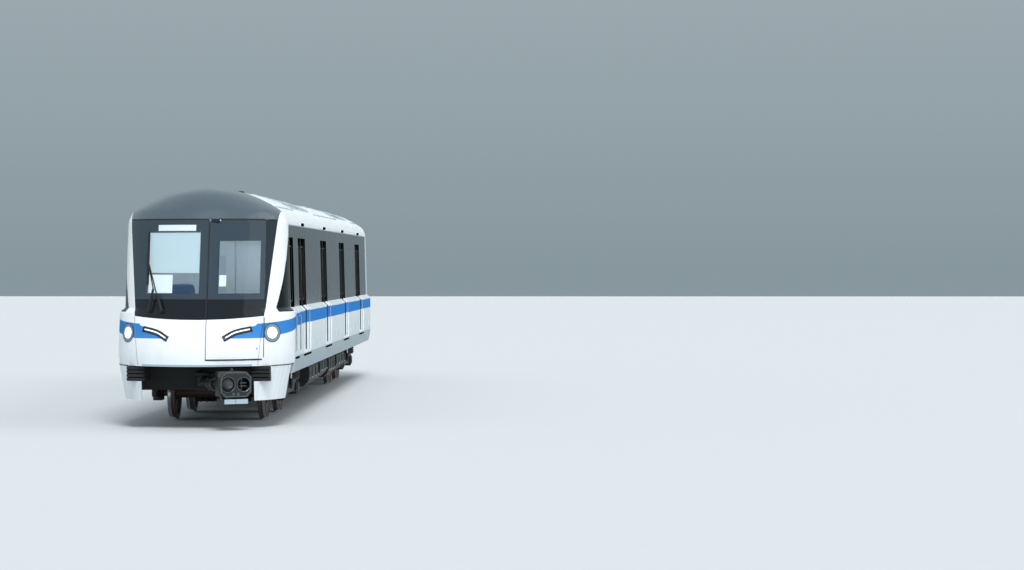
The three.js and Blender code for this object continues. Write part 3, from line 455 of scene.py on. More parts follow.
def work_out(tree: bpy.types.NodeTree, sums: Sums, known: dict[str, bpy.types.NodeSocket]) -> None:
    """Adds a row of sums to a tree, each of which may use the ones before it.

    Args:
        tree: Tree that the sums go into.
        sums: Rows of result, operation, first and second value. A value is a number or an earlier result.
        known: Results so far by name, which the new ones join.
    """
    for result, operation, first, second in sums:
        values = {index: known[value] if isinstance(value, str) else value
                  for index, value in enumerate((first, second))}
        known[result] = add_node(tree, "ShaderNodeMath", values, operation=operation).outputs[0]


def start_material(name: str) -> tuple[bpy.types.Material, bpy.types.NodeTree, bpy.types.NodeSocket]:
    """Makes an empty material.

    Args:
        name: The material's name.

    Returns:
        The material, its node tree and the place on the piece, in metres.
    """
    material = bpy.data.materials.new(name)
    material.use_nodes = True
    tree = material.node_tree
    tree.nodes.clear()
    return material, tree, add_node(tree, "ShaderNodeTexCoord").outputs["Object"]


def drawing_place(tree: bpy.types.NodeTree, point: bpy.types.NodeSocket) -> dict[str, bpy.types.NodeSocket]:
    """Works out the drawing's own measures at each point of a surface.

    Args:
        tree: The material's tree.
        point: Place on the piece.

    Returns:
        The sockets x, side (distance from the centre plane), behind (the nose) and height (above the rail).
    """
    axes = add_node(tree, "ShaderNodeSeparateXYZ", {0: point}).outputs
    known = {"x": axes[0], "y": axes[1], "z": axes[2]}
    work_out(tree, (
        ("side", "ABSOLUTE", "x", 0.0),
        ("behind", "SUBTRACT", "y", NOSE_Y),
        ("height", "SUBTRACT", "z", RAIL),
        ("doorway_phase", "SUBTRACT", "behind", DOORWAY_CENTRES[0] - DOORWAY_PITCH / 2),
        ("in_pitch", "FLOORED_MODULO", "doorway_phase", DOORWAY_PITCH),
        ("past_centre", "SUBTRACT", "in_pitch", DOORWAY_PITCH / 2),
        ("off_centre", "ABSOLUTE", "past_centre", 0.0),
        ("beside", "GREATER_THAN", "behind", 3.2),
        ("square_side", "MULTIPLY", "side", "side"),
        ("droop", "MULTIPLY", "square_side", 0.052),
        ("mask_bottom", "ADD", "droop", 1.6915),
        ("edge_rise", "MULTIPLY", "height", MASK_SPREAD),
        ("mask_edge", "ADD", "edge_rise", mask_edge(0.0)),
    ), known)
    return known


class Grain(Enum):
    """Ways in which a surface is broken up."""

    LACQUERED = "lacquered"
    CAST = "cast"
    BRUSHED = "brushed"
    MOULDED = "moulded"
    WOVEN = "woven"
    SPECKLED = "speckled"


@dataclass(frozen=True)
class Finish:
    """One real surface: its colours, its gloss and the grain that its making leaves."""

    name: str
    colour: str
    second: str
    roughness: float
    grain: Grain
    grain_mm: float
    depth_mm: float = 0.2
    metallic: float = 0.0
    ior: float = 1.5
    coat: float = 0.0
    transmission: float = 0.0
    glow: float = 0.0
    dust: str = ""

    def build(self) -> bpy.types.Material:
        """Makes the material."""
        material, tree, point = start_material(self.name)
        stretch = (0.05, 0.05, 1.0) if self.grain is Grain.BRUSHED else (1.0, 1.0, 1.0)
        mapped = add_node(tree, "ShaderNodeMapping", {"Vector": point, "Scale": stretch}).outputs[0]
        fine = self.fine_pattern(tree, mapped)
        cloud = add_node(tree, "ShaderNodeTexNoise", {
            "Vector": point, "Scale": 3.1, "Detail": 5.0,
        }).outputs[0]
        known = {"fine": fine, "cloud": cloud}
        work_out(tree, (
            ("both", "ADD", "fine", "cloud"),
            ("share", "MULTIPLY", "both", 0.5),
            ("rough_change", "MULTIPLY_ADD", "cloud", 0.16),
        ), known)
        known["rough_change"].node.inputs[2].default_value = self.roughness - 0.08
        colour = add_node(tree, "ShaderNodeMix", {
            "Factor": known["share"], 6: linear(self.colour), 7: linear(self.second),
        }, data_type="RGBA").outputs[2]
        if self.dust:
            colour = self.add_dust(tree, colour, cloud)
        bump = add_node(tree, "ShaderNodeBump", {
            "Height": fine, "Strength": 0.6, "Distance": self.depth_mm / 1000,
        }).outputs[0]
        shader = add_node(tree, "ShaderNodeBsdfPrincipled", {
            "Base Color": colour, "Metallic": self.metallic, "Roughness": known["rough_change"],
            "IOR": self.ior, "Coat Weight": self.coat, "Coat Roughness": 0.08,
            "Transmission Weight": self.transmission, "Normal": bump,
        })
        if self.glow:
            shader.inputs["Emission Color"].default_value = linear(self.colour)
            shader.inputs["Emission Strength"].default_value = self.glow
        add_node(tree, "ShaderNodeOutputMaterial", {"Surface": shader.outputs[0]})
        return material

    def fine_pattern(self, tree: bpy.types.NodeTree, point: bpy.types.NodeSocket) -> bpy.types.NodeSocket:
        """Adds the grain's own pattern, at its real size, and gives its height."""
        scale = 1000 / self.grain_mm
        if self.grain in (Grain.CAST, Grain.SPECKLED):
            cells = add_node(tree, "ShaderNodeTexVoronoi", {"Vector": point, "Scale": scale})
            return cells.outputs["Color" if self.grain is Grain.SPECKLED else "Distance"]
        if self.grain is Grain.WOVEN:
            # One wave is one thread of the warp or the weft.
            waves = [add_node(tree, "ShaderNodeTexWave", {
                "Vector": point, "Scale": scale / math.tau, "Distortion": 0.4,
            }, bands_direction=direction).outputs["Fac"] for direction in ("X", "Z")]
            threads = {"warp": waves[0], "weft": waves[1]}
            work_out(tree, (("cloth", "MAXIMUM", "warp", "weft"),), threads)
            return threads["cloth"]
        return add_node(tree, "ShaderNodeTexNoise", {
            "Vector": point, "Scale": scale, "Detail": 3.0,
        }).outputs[0]

    def add_dust(self, tree: bpy.types.NodeTree, colour: bpy.types.NodeSocket,
                 cloud: bpy.types.NodeSocket) -> bpy.types.NodeSocket:
        """Lays dust on what faces up, and gives the new colour."""
        normal = add_node(tree, "ShaderNodeNewGeometry").outputs["Normal"]
        upward = add_node(tree, "ShaderNodeSeparateXYZ", {0: normal}).outputs[2]
        known = {"up": upward, "cloud": cloud}
        work_out(tree, (
            ("faces_up", "MAXIMUM", "up", 0.12),
            ("patchy", "MULTIPLY", "faces_up", "cloud"),
            ("dust", "MINIMUM", "patchy", 0.8),
        ), known)
        return add_node(tree, "ShaderNodeMix", {
            "Factor": known["dust"], 6: colour, 7: linear(self.dust),
        }, data_type="RGBA").outputs[2]


@dataclass(frozen=True)
class BodyPaint:
    """Polyurethane top coat sprayed on aluminium panels: white, with a blue stripe, black door glazing and
    jambs in black painted shade.

    Its lacquer gives sharp, bright reflections, and washing leaves faint streaks low on the sides.
    """

    name: str = "polyurethane_paint_on_aluminium"
    white: str = "#F5F8FA"
    blue: str = "#3F84CC"
    # Black of the doors' glazing, sills and roof lamp boxes; on the doorway jambs it is painted shade.
    black: str = "#050708"
    mask: str = "#2A343C"            # lacquer round the windscreen
    road_film: str = "#B4C3CB"
    panel: str = "#D3DCDE"           # the fixed panels are greyer than the doors
    foot: str = "#98A9B1"            # greyer band along the floor's edge
    stripe_rise: float = 0.17        # the stripe's lower edge climbs by this from the nose to the sides
    stripe_run: float = 2.2          # along this length, which starts half a metre behind the nose
    stripe_heights: tuple[float, float] = (1.40, 1.63)
    stripe_tip: float = 0.42         # the stripe ends at this distance from the centre plane

    def build(self) -> bpy.types.Material:
        """Makes the material."""
        material, tree, point = start_material(self.name)
        known = drawing_place(tree, point)
        work_out(tree, self.stripe_sums(), known)
        work_out(tree, self.black_sums(), known)
        streak_place = add_node(tree, "ShaderNodeMapping", {
            "Vector": point, "Scale": (1.0, 9.0, 0.5),
        }).outputs[0]
        known["streaks"] = add_node(tree, "ShaderNodeTexNoise", {
            "Vector": streak_place, "Scale": 1.6, "Detail": 6.0,
        }).outputs[0]
        known["cloud"] = add_node(tree, "ShaderNodeTexNoise", {
            "Vector": point, "Scale": 1.3, "Detail": 4.0,
        }).outputs[0]
        normal = add_node(tree, "ShaderNodeNewGeometry").outputs["Normal"]
        known["up"] = add_node(tree, "ShaderNodeSeparateXYZ", {0: normal}).outputs[2]
        work_out(tree, self.film_sums(), known)
        colour = add_node(tree, "ShaderNodeRGB").outputs[0]
        colour.default_value = linear(self.white)
        layers = (("fixed_panel", self.panel), ("stripe", self.blue), ("film", self.road_film),
                  ("foot_band", self.foot), ("mask_black", self.mask), ("black", self.black))
        for share, code in layers:
            colour = add_node(tree, "ShaderNodeMix", {
                "Factor": known[share], 6: colour, 7: linear(code),
            }, data_type="RGBA").outputs[2]
        # Sheet panels are flat to about a millimetre in half a metre.
        waves = add_node(tree, "ShaderNodeTexNoise", {
            "Vector": point, "Scale": 2.2, "Detail": 1.0,
        }).outputs[0]
        bump = add_node(tree, "ShaderNodeBump", {
            "Height": waves, "Strength": 0.25, "Distance": 0.004,
        }).outputs[0]
        shader = add_node(tree, "ShaderNodeBsdfPrincipled", {
            "Base Color": colour, "Roughness": known["roughness"], "IOR": 1.5,
            "Specular IOR Level": known["gloss"], "Normal": bump,
        })
        add_node(tree, "ShaderNodeOutputMaterial", {"Surface": shader.outputs[0]})
        return material

    def stripe_sums(self) -> Sums:
        """Gives the sums for the blue stripe, which dips round the nose and tapers to the blade lamps."""
        return (
            ("past_start", "SUBTRACT", "behind", 0.5),
            ("share_run", "DIVIDE", "past_start", self.stripe_run),
            ("share_low", "MAXIMUM", "share_run", 0.0),
            ("share", "MINIMUM", "share_low", 1.0),
            ("eased", "POWER", "share", 0.7),
            ("low_rise", "MULTIPLY", "eased", self.stripe_rise),
            ("stripe_low", "ADD", "low_rise", self.stripe_heights[0]),
            ("top_rise", "MULTIPLY", "share", 0.145),
            ("stripe_top", "ADD", "top_rise", self.stripe_heights[1]),
            ("past_tip", "SUBTRACT", "side", self.stripe_tip),
            ("steep", "MULTIPLY", "past_tip", 0.575),
            ("steep_line", "ADD", "steep", 1.385),
            ("past_bend", "SUBTRACT", "side", 0.62),
            ("gentle", "MULTIPLY", "past_bend", 0.355),
            ("gentle_line", "ADD", "gentle", 1.5),
            ("taper", "MINIMUM", "steep_line", "gentle_line"),
            ("past_taper", "SUBTRACT", "behind", 0.45),
            ("no_taper", "MAXIMUM", "past_taper", 0.0),
            ("taper_line", "ADD", "taper", "no_taper"),
            ("top", "MINIMUM", "stripe_top", "taper_line"),
            *between("in_heights", "height", "stripe_low", "top"),
            ("outside", "GREATER_THAN", "side", self.stripe_tip),
            ("in_stripe", "MULTIPLY", "in_heights", "outside"),
            ("before_end", "LESS_THAN", "behind", CAR_END - 0.03),
            ("stripe", "MULTIPLY", "in_stripe", "before_end"),
        )

    def black_sums(self) -> Sums:
        """Gives the sums for the black: door glazing, painted shade on the doorway jambs, and what frames the
        windscreen.
        """
        return (
            ("in_doorway", "LESS_THAN", "off_centre", DOORWAY_HALF + 0.002),
            ("saloon_door", "MULTIPLY", "in_doorway", "beside"),
            *between("cab_door", "behind", CAB_DOOR[0] - 0.001, CAB_DOOR[1] + 0.001),
            ("any_door", "MAXIMUM", "saloon_door", "cab_door"),
            *between("door_heights", "height", LEDGE_TOP - 0.008, CANTRAIL),
            ("outboard", "GREATER_THAN", "side", 1.1),
            ("door_side", "MULTIPLY", "any_door", "outboard"),
            # Black on the doors' glazing above the ledge, and painted shade on the doorway jambs beside it.
            ("door_black_and_jamb_shade", "MULTIPLY", "door_heights", "door_side"),
            ("above_mask", "GREATER_THAN", "height", "mask_bottom"),
            ("inside_edge", "LESS_THAN", "side", "mask_edge"),
            ("on_front", "LESS_THAN", "behind", 1.4),
            ("mask_zone", "MULTIPLY", "above_mask", "inside_edge"),
            ("mask_black", "MULTIPLY", "mask_zone", "on_front"),
            ("outside_skin", "GREATER_THAN", "side", 1.397),
            *between("sill_heights", "height", 1.015, 1.056),
            ("sill_side", "MULTIPLY", "outside_skin", "any_door"),
            ("sill_black", "MULTIPLY", "sill_heights", "sill_side"),
            ("above_cantrail", "GREATER_THAN", "height", CANTRAIL + 0.003),
            ("past_cantrail", "GREATER_THAN", "side", 1.2875),
            ("lamp_box_black", "MULTIPLY", "above_cantrail", "past_cantrail"),
            ("fitting_black", "MAXIMUM", "sill_black", "lamp_box_black"),
            ("black", "MAXIMUM", "door_black_and_jamb_shade", "fitting_black"),
        )

    def film_sums(self) -> Sums:
        """Gives the sums for the dirt, for the fixed panels' greyer tone and the greyer band at the foot, and
        for the gloss.
        """
        return (
            ("below", "SUBTRACT", 1.55, "height"),
            ("low_share", "MULTIPLY", "below", 0.9),
            ("low_start", "MAXIMUM", "low_share", 0.0),
            ("low_end", "MINIMUM", "low_start", 0.62),
            ("low_film", "MULTIPLY", "low_end", "streaks"),
            ("roof_share", "SUBTRACT", "up", 0.25),
            ("roof_start", "MAXIMUM", "roof_share", 0.0),
            ("roof_film", "MULTIPLY", "roof_start", "cloud"),
            ("film", "MAXIMUM", "low_film", "roof_film"),
            ("dull", "MULTIPLY", "film", 0.5),
            ("roughness", "ADD", "dull", 0.2),
            ("not_doorway", "SUBTRACT", 1.0, "in_doorway"),
            ("past_nose", "GREATER_THAN", "behind", 1.8),
            ("beside_doors", "MULTIPLY", "not_doorway", "past_nose"),
            ("at_wall", "MULTIPLY", "beside_doors", "outboard"),
            ("below_cantrail", "LESS_THAN", "height", CANTRAIL),
            ("fixed_panel", "MULTIPLY", "at_wall", "below_cantrail"),
            ("at_foot", "LESS_THAN", "height", 1.062),
            ("foot_side", "MULTIPLY", "past_nose", "outboard"),
            ("foot_band", "MULTIPLY", "at_foot", "foot_side"),
            ("flat_colour", "MAXIMUM", "stripe", "black"),
            ("not_flat", "SUBTRACT", 1.0, "flat_colour"),
            ("gloss", "MULTIPLY", "not_flat", 0.05),
        )


@dataclass(frozen=True)
class ScreenGlass:
    """Laminated windscreen glass with a black enamel border, and clear panes within it."""

    name: str = "laminated_glass_enamelled"
    border: str = "#151C22"
    painted_light_border: str = "#36434D"     # painted light: over the desk's edge the enamel is painted lighter for the cab's light behind it
    tint: str = "#C9D6DA"
    paper: str = "#DCE6EC"
    white: str = "#F5F8FA"
    # Columns: lowest x, highest x, lowest and highest height of each clear pane.
    panes: tuple[tuple[float, float, float, float], ...] = (
        (-0.83, 0.04, 2.10, 3.07), (0.33, 0.945, 2.10, 2.93),
    )
    display: tuple[float, float, float, float] = (-0.655, -0.04, 3.085, 3.18)

    def build(self) -> bpy.types.Material:
        """Makes the material."""
        material, tree, point = start_material(self.name)
        known = drawing_place(tree, point)
        for index, zone in enumerate((*self.panes, self.display)):
            work_out(tree, self.zone_sums(f"zone_{index}", zone), known)
        work_out(tree, (
            ("clear", "MAXIMUM", "zone_0", "zone_1"),
            ("below_mask", "LESS_THAN", "height", "mask_bottom"),
            # Above this height the enamel border takes its painted light.
            ("high", "GREATER_THAN", "height", 2.01),
        ), known)
        cloud = add_node(tree, "ShaderNodeTexNoise", {
            "Vector": point, "Scale": 2.3, "Detail": 3.0,
        }).outputs[0]
        colour = add_node(tree, "ShaderNodeMix", {
            "Factor": known["high"], 6: linear(self.border), 7: linear(self.painted_light_border),
        }, data_type="RGBA").outputs[2]
        for zone, code in (("clear", self.tint), ("zone_2", self.paper), ("below_mask", self.white)):
            colour = add_node(tree, "ShaderNodeMix", {
                "Factor": known[zone], 6: colour, 7: linear(code),
            }, data_type="RGBA").outputs[2]
        bump = add_node(tree, "ShaderNodeBump", {
            "Height": cloud, "Strength": 0.15, "Distance": 0.003,
        }).outputs[0]
        shader = add_node(tree, "ShaderNodeBsdfPrincipled", {
            "Base Color": colour, "Roughness": 0.06, "IOR": 1.36,
            "Transmission Weight": known["clear"], "Normal": bump,
        })
        add_node(tree, "ShaderNodeOutputMaterial", {"Surface": shader.outputs[0]})
        return material

    def zone_sums(self, name: str, zone: tuple[float, float, float, float]) -> Sums:
        """Gives the sums that tell whether a point lies in a zone seen from the front."""
        left, right, low, high = zone
        return (
            *between(f"{name}_x", "x", left, right),
            *between(f"{name}_z", "height", low, high),
            (name, "MULTIPLY", f"{name}_x", f"{name}_z"),
        )


@dataclass(frozen=True)
class BandGlass:
    """Toughened side glass bonded in one flush band: body-tinted, with black enamel between the windows."""

    name: str = "toughened_glass_tinted"
    enamel: str = "#12181B"
    tint: str = "#4A565B"
    window_half: float = 0.80
    window_heights: tuple[float, float] = (1.95, 2.83)
    rear_window: tuple[float, float] = (18.47, 19.53)

    def build(self) -> bpy.types.Material:
        """Makes the material."""
        material, tree, point = start_material(self.name)
        known = drawing_place(tree, point)
        work_out(tree, (
            ("between", "GREATER_THAN", "off_centre", DOORWAY_PITCH / 2 - self.window_half),
            *between("inner", "behind", DOORWAY_CENTRES[0] + 1.0, DOORWAY_CENTRES[-1]),
            ("saloon_window", "MULTIPLY", "between", "inner"),
            *between("rear_window", "behind", *self.rear_window),
            ("any_window", "MAXIMUM", "saloon_window", "rear_window"),
            *between("in_heights", "height", *self.window_heights),
            ("clear", "MULTIPLY", "any_window", "in_heights"),
        ), known)
        colour = add_node(tree, "ShaderNodeMix", {
            "Factor": known["clear"], 6: linear(self.enamel), 7: linear(self.tint),
        }, data_type="RGBA").outputs[2]
        # Rolled glass shows a slow ripple, about 0.4 m long.
        ripple = add_node(tree, "ShaderNodeTexNoise", {
            "Vector": point, "Scale": 2.5, "Detail": 2.0,
        }).outputs[0]
        bump = add_node(tree, "ShaderNodeBump", {
            "Height": ripple, "Strength": 0.2, "Distance": 0.004,
        }).outputs[0]
        shader = add_node(tree, "ShaderNodeBsdfPrincipled", {
            "Base Color": colour, "Roughness": 0.12, "IOR": 1.2,
            "Transmission Weight": known["clear"], "Normal": bump,
        })
        add_node(tree, "ShaderNodeOutputMaterial", {"Surface": shader.outputs[0]})
        return material


def made(*looks: object, **more: object) -> bpy.types.Material:
    """Makes a field of Finishes whose material is built from the values of a Finish."""
    return field(default_factory=Finish(*looks, **more).build)


@dataclass
class Finishes:
    """All the materials of the car, each named after what the real surface is."""

    # Sprayed two-pack lacquer: bright, sharp reflections.
    body: bpy.types.Material = field(default_factory=BodyPaint().build)
    screen: bpy.types.Material = field(default_factory=ScreenGlass().build)
    band: bpy.types.Material = field(default_factory=BandGlass().build)
    # Glass fibre shell in a dark lacquer: softer reflections than the glass below it.
    dome: bpy.types.Material = made(
        "glass_fibre_lacquered", "#424F58", "#4B5963", 0.26, Grain.LACQUERED, 3.0, 0.05, coat=0.4)
    # Float glass in a body tint, for the doors' small panes.
    pane: bpy.types.Material = made(
        "float_glass_grey", "#0D1113", "#13181B", 0.1, Grain.LACQUERED, 60.0, 0.1, ior=1.15, transmission=0.4)
    # Moulded lens: clear and slightly wavy.
    lens: bpy.types.Material = made(
        "polycarbonate_clear", "#F4F8FA", "#EEF4F8", 0.1, Grain.MOULDED, 30.0, 0.1,
        ior=1.58, transmission=0.95)
    # Opal cover over diodes: even white light.
    diffuser: bpy.types.Material = made(
        "opal_acrylic_lit", "#FFFFFF", "#F4FAFF", 0.3, Grain.MOULDED, 5.0, 0.02, glow=1.2)
    cab_light: bpy.types.Material = made(
        "opal_acrylic_cab_light", "#F2F8FF", "#FFFFFF", 0.3, Grain.MOULDED, 5.0, 0.02, glow=26.0)
    # Extruded seal rubber: matt, with a slight bloom.
    rubber: bpy.types.Material = made(
        "epdm_rubber_extruded", "#101214", "#1A1D20", 0.72, Grain.MOULDED, 2.0, 0.1)
    # Coated bellows fabric: a coarse weave under rubber.
    bellows: bpy.types.Material = made(
        "rubber_coated_fabric", "#16181A", "#24282B", 0.8, Grain.WOVEN, 6.0, 0.4, dust="#4A4A46")
    # Lacquer on the mask's lower edge strip and other pale trim.
    pale_trim: bpy.types.Material = made(
        "powder_coat_pale_grey", "#AFC0CA", "#9DB0BC", 0.4, Grain.LACQUERED, 2.0, 0.05)
    seam: bpy.types.Material = made(
        "silicone_joint_grey", "#8D989F", "#7C878E", 0.6, Grain.MOULDED, 3.0, 0.05)
    # Chassis enamel over welded plate, with brake dust on it.
    enamel: bpy.types.Material = made(
        "chassis_enamel_black", "#111315", "#1D1F21", 0.6, Grain.CAST, 9.0, 0.3, dust="#4B4038")
    # Cast iron and steel from the foundry: rough skin.
    casting: bpy.types.Material = made(
        "cast_steel", "#3A3F43", "#565C60", 0.55, Grain.CAST, 6.0, 0.5, metallic=0.7, dust="#5A4A3E")
    # Forged and turned: fine rings left by the tool, rust-tinted.
    wheel: bpy.types.Material = made(
        "forged_wheel_steel", "#4A3E38", "#5E5048", 0.55, Grain.CAST, 5.0, 0.2, metallic=0.5, dust="#5A4638")
    tread: bpy.types.Material = made(
        "rolled_steel_polished", "#B4BABE", "#C4CACE", 0.22, Grain.BRUSHED, 1.5, 0.03, metallic=1.0)
    # Drawn tube, brushed lengthways.
    stainless: bpy.types.Material = made(
        "stainless_steel_brushed", "#B8BEC2", "#C8CED2", 0.28, Grain.BRUSHED, 1.2, 0.04, metallic=1.0)
    # Anodised sheet: satin, colourless.
    anodised: bpy.types.Material = made(
        "anodised_aluminium", "#C2CACE", "#CCD3D7", 0.42, Grain.BRUSHED, 1.5, 0.04, metallic=0.2,
        dust="#B4BCC0")
    # Steel rubbed bare where couplers meet and slide; on the coupler head's rims its light grey is also a
    # painted highlight.
    worn: bpy.types.Material = made(
        "tool_steel_worn", "#6A7175", "#555C60", 0.35, Grain.BRUSHED, 1.5, 0.05, metallic=0.7)
    # Baked enamel round the headlamps: even grey-blue, hardly any gloss.
    bezel: bpy.types.Material = made(
        "stove_enamel_grey_blue", "#728593", "#7C909E", 0.45, Grain.LACQUERED, 2.0, 0.03)
    # Cast housing, black-painted and oily.
    coupler: bpy.types.Material = made(
        "cast_steel_painted_black", "#1E2123", "#2A2E30", 0.5, Grain.CAST, 6.0, 0.4, metallic=0.2,
        dust="#3E3A36")
    # Gel-coated laminate lining, with a soft sheen.
    lining: bpy.types.Material = made(
        "gel_coat_lining", "#C6CED1", "#BBC4C8", 0.45, Grain.MOULDED, 4.0, 0.05)
    # Textured moulding that hides glare.
    desk: bpy.types.Material = made(
        "abs_moulded_black", "#24292D", "#2C3236", 0.6, Grain.MOULDED, 2.5, 0.25)
    cloth: bpy.types.Material = made(
        "wool_moquette_blue", "#22405F", "#2E5076", 0.9, Grain.WOVEN, 6.0, 0.8)
    strap: bpy.types.Material = made(
        "polyamide_strap", "#D8A23A", "#C8912C", 0.5, Grain.MOULDED, 2.0, 0.1)
    # Sheet flooring with coloured chips.
    floor: bpy.types.Material = made(
        "rubber_floor_speckled", "#5A6266", "#767E82", 0.6, Grain.SPECKLED, 6.0, 0.05)
    # Etched glass: it lets light through and shows no picture; its faint glow is painted light.
    frosted: bpy.types.Material = made(
        "acid_etched_glass_painted_glow", "#A9B7BD", "#9FADB4", 0.5, Grain.MOULDED, 2.0, 0.02, glow=0.1)
    # White card behind the glass; its glow is painted light, as it is no lamp.
    card: bpy.types.Material = made(
        "card_white_painted_glow", "#FFFFFF", "#F4F8FA", 0.7, Grain.MOULDED, 1.0, 0.02, glow=1.0)
    # Sun blind cloth; its glow is painted light, as it is no lamp.
    blind: bpy.types.Material = made(
        "roller_blind_painted_glow", "#E2ECF2", "#D2DFE8", 0.85, Grain.WOVEN, 4.0, 0.2, glow=0.8)


def smooth_group() -> bpy.types.NodeTree:
    """Makes the modifier that welds a frame node's split corners and smooths its shallow bends."""
    tree = bpy.data.node_groups.new("smooth_shallow_bends", "GeometryNodeTree")
    tree.interface.new_socket("Geometry", in_out="INPUT", socket_type="NodeSocketGeometry")
    tree.interface.new_socket("Geometry", in_out="OUTPUT", socket_type="NodeSocketGeometry")
    mesh = add_node(tree, "NodeGroupInput").outputs[0]
    welded = add_node(tree, "GeometryNodeMergeByDistance", {"Geometry": mesh, "Distance": 1e-5}).outputs[0]
    faces = add_node(tree, "GeometryNodeSetShadeSmooth", {
        "Geometry": welded, "Shade Smooth": True,
    }).outputs[0]
    bend = add_node(tree, "GeometryNodeInputMeshEdgeAngle").outputs[0]
    shallow = add_node(tree, "FunctionNodeCompare", {
        0: bend, 1: math.radians(28),
    }, operation="LESS_THAN").outputs[0]
    edges = add_node(tree, "GeometryNodeSetShadeSmooth", {
        "Geometry": faces, "Shade Smooth": shallow,
    }, domain="EDGE").outputs[0]
    add_node(tree, "NodeGroupOutput", {0: edges})
    return tree


@dataclass
class FrameDress:
    """Gives each CAD node that stays in view its finish and smooth shading."""

    finishes: Finishes

    def dress(self, nodes: Mapping[str, bpy.types.Object]) -> None:
        """Dresses the nodes.

        Args:
            nodes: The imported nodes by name.
        """
        group = smooth_group()
        for name, node in nodes.items():
            finish = self.finish_for(name)
            node.data.materials.clear()
            node.data.materials.append(finish)
            modifier = node.modifiers.new("smooth", "NODES")
            modifier.node_group = group
            weighted = node.modifiers.new("weighted", "WEIGHTED_NORMAL")
            weighted.keep_sharp = True
            LOG.info("%s: %s", name, finish.name)

    def finish_for(self, name: str) -> bpy.types.Material:
        """Picks the finish of a node by its name."""
        looks = self.finishes
        table = (
            ("windscreen_frame", looks.enamel), ("windscreen", looks.screen),
            ("evacuation_pane", looks.screen),
            ("nose_dome", looks.dome), ("window_band", looks.band), ("quarter_light", looks.pane),
            ("cab_partition", looks.lining), ("passage_door", looks.lining), ("driver_desk", looks.desk),
            ("air_unit", looks.anodised), ("gangway", looks.bellows), ("front_coupler", looks.coupler),
            ("rear_drawbar", looks.casting), ("bogie_frame", looks.enamel), ("underframe", looks.enamel),
            ("underfloor_case", looks.enamel), ("headstock", looks.rubber),
        )
        for start, finish in table:
            if name.startswith(start):
                return finish
        return looks.body


@dataclass
class Studio:
    """Camera at the photograph's viewing angle, pale floor and soft light."""

    camera_place: tuple[float, float, float] = (5.39, -39.7, 2.55)
    lens_mm: float = 90.07
    yaw: float = 0.66
    pitch: float = -0.45

    def build(self) -> None:
        """Sets up the camera, the floor and the lights."""
        scene = bpy.context.scene
        data = bpy.data.cameras.new("camera")
        data.lens = self.lens_mm
        data.clip_end = 400.0
        camera = bpy.data.objects.new("camera", data)
        camera.location = place(*self.camera_place)
        camera.rotation_euler = (math.radians(90 + self.pitch), 0.0, math.radians(self.yaw))
        scene.collection.objects.link(camera)
        scene.camera = camera
        scene.view_settings.view_transform = "Standard"
        self.add_floor()
        self.add_world(scene)
        self.add_sun("key", (38.0, 0.0, 13.0), 2.5, 22.0)
        self.add_sun("fill", (66.0, 0.0, 100.0), 0.6, 60.0)

    def add_floor(self) -> None:
        """Lays the floor under the wheels."""
        data = bpy.data.meshes.new("studio_floor")
        reach = 160.0
        corners = [(-reach, -reach, 0.0), (reach, -reach, 0.0), (reach, reach, 0.0), (-reach, reach, 0.0)]
        data.from_pydata(corners, [], [(0, 1, 2, 3)])
        floor = bpy.data.objects.new("studio_floor", data)
        bpy.context.scene.collection.objects.link(floor)
        data.materials.append(Finish(
            "studio_floor_paint", "#C9CDCF", "#CDD1D3", 0.9, Grain.MOULDED, 200.0, 0.01).build())

    def add_world(self, scene: bpy.types.Scene) -> None:
        """Gives a soft sky that is a little darker at its foot, as over distant trees."""
        world = bpy.data.worlds.new("overcast")
        scene.world = world
        world.use_nodes = True
        tree = world.node_tree
        tree.nodes.clear()
        point = add_node(tree, "ShaderNodeTexCoord").outputs["Generated"]
        height = add_node(tree, "ShaderNodeSeparateXYZ", {0: point}).outputs[2]
        known = {"height": height}
        work_out(tree, (
            ("scaled", "MULTIPLY", "height", 2.6),
            ("above", "MAXIMUM", "scaled", 0.0),
            ("share", "MINIMUM", "above", 1.0),
        ), known)
        colour = add_node(tree, "ShaderNodeMix", {
            "Factor": known["share"], 6: linear("#93A3AB"), 7: linear("#D3DEE4"),
        }, data_type="RGBA").outputs[2]
        background = add_node(tree, "ShaderNodeBackground", {0: colour, 1: 0.85})
        add_node(tree, "ShaderNodeOutputWorld", {0: background.outputs[0]})

    def add_sun(self, name: str, turns: tuple[float, float, float], strength: float, angle: float) -> None:
        """Adds a broad distant light.

        Args:
            name: Its name.
            turns: Its rotation, in degrees.
            strength: Its strength.
            angle: How broad it looks, in degrees.
        """
        data = bpy.data.lights.new(name, "SUN")
        data.energy = strength
        data.angle = math.radians(angle)
        light = bpy.data.objects.new(name, data)
        light.rotation_euler = tuple(math.radians(turn) for turn in turns)
        bpy.context.scene.collection.objects.link(light)


@dataclass
class Part:
    """One sub-assembly of the visual model."""

    finishes: Finishes


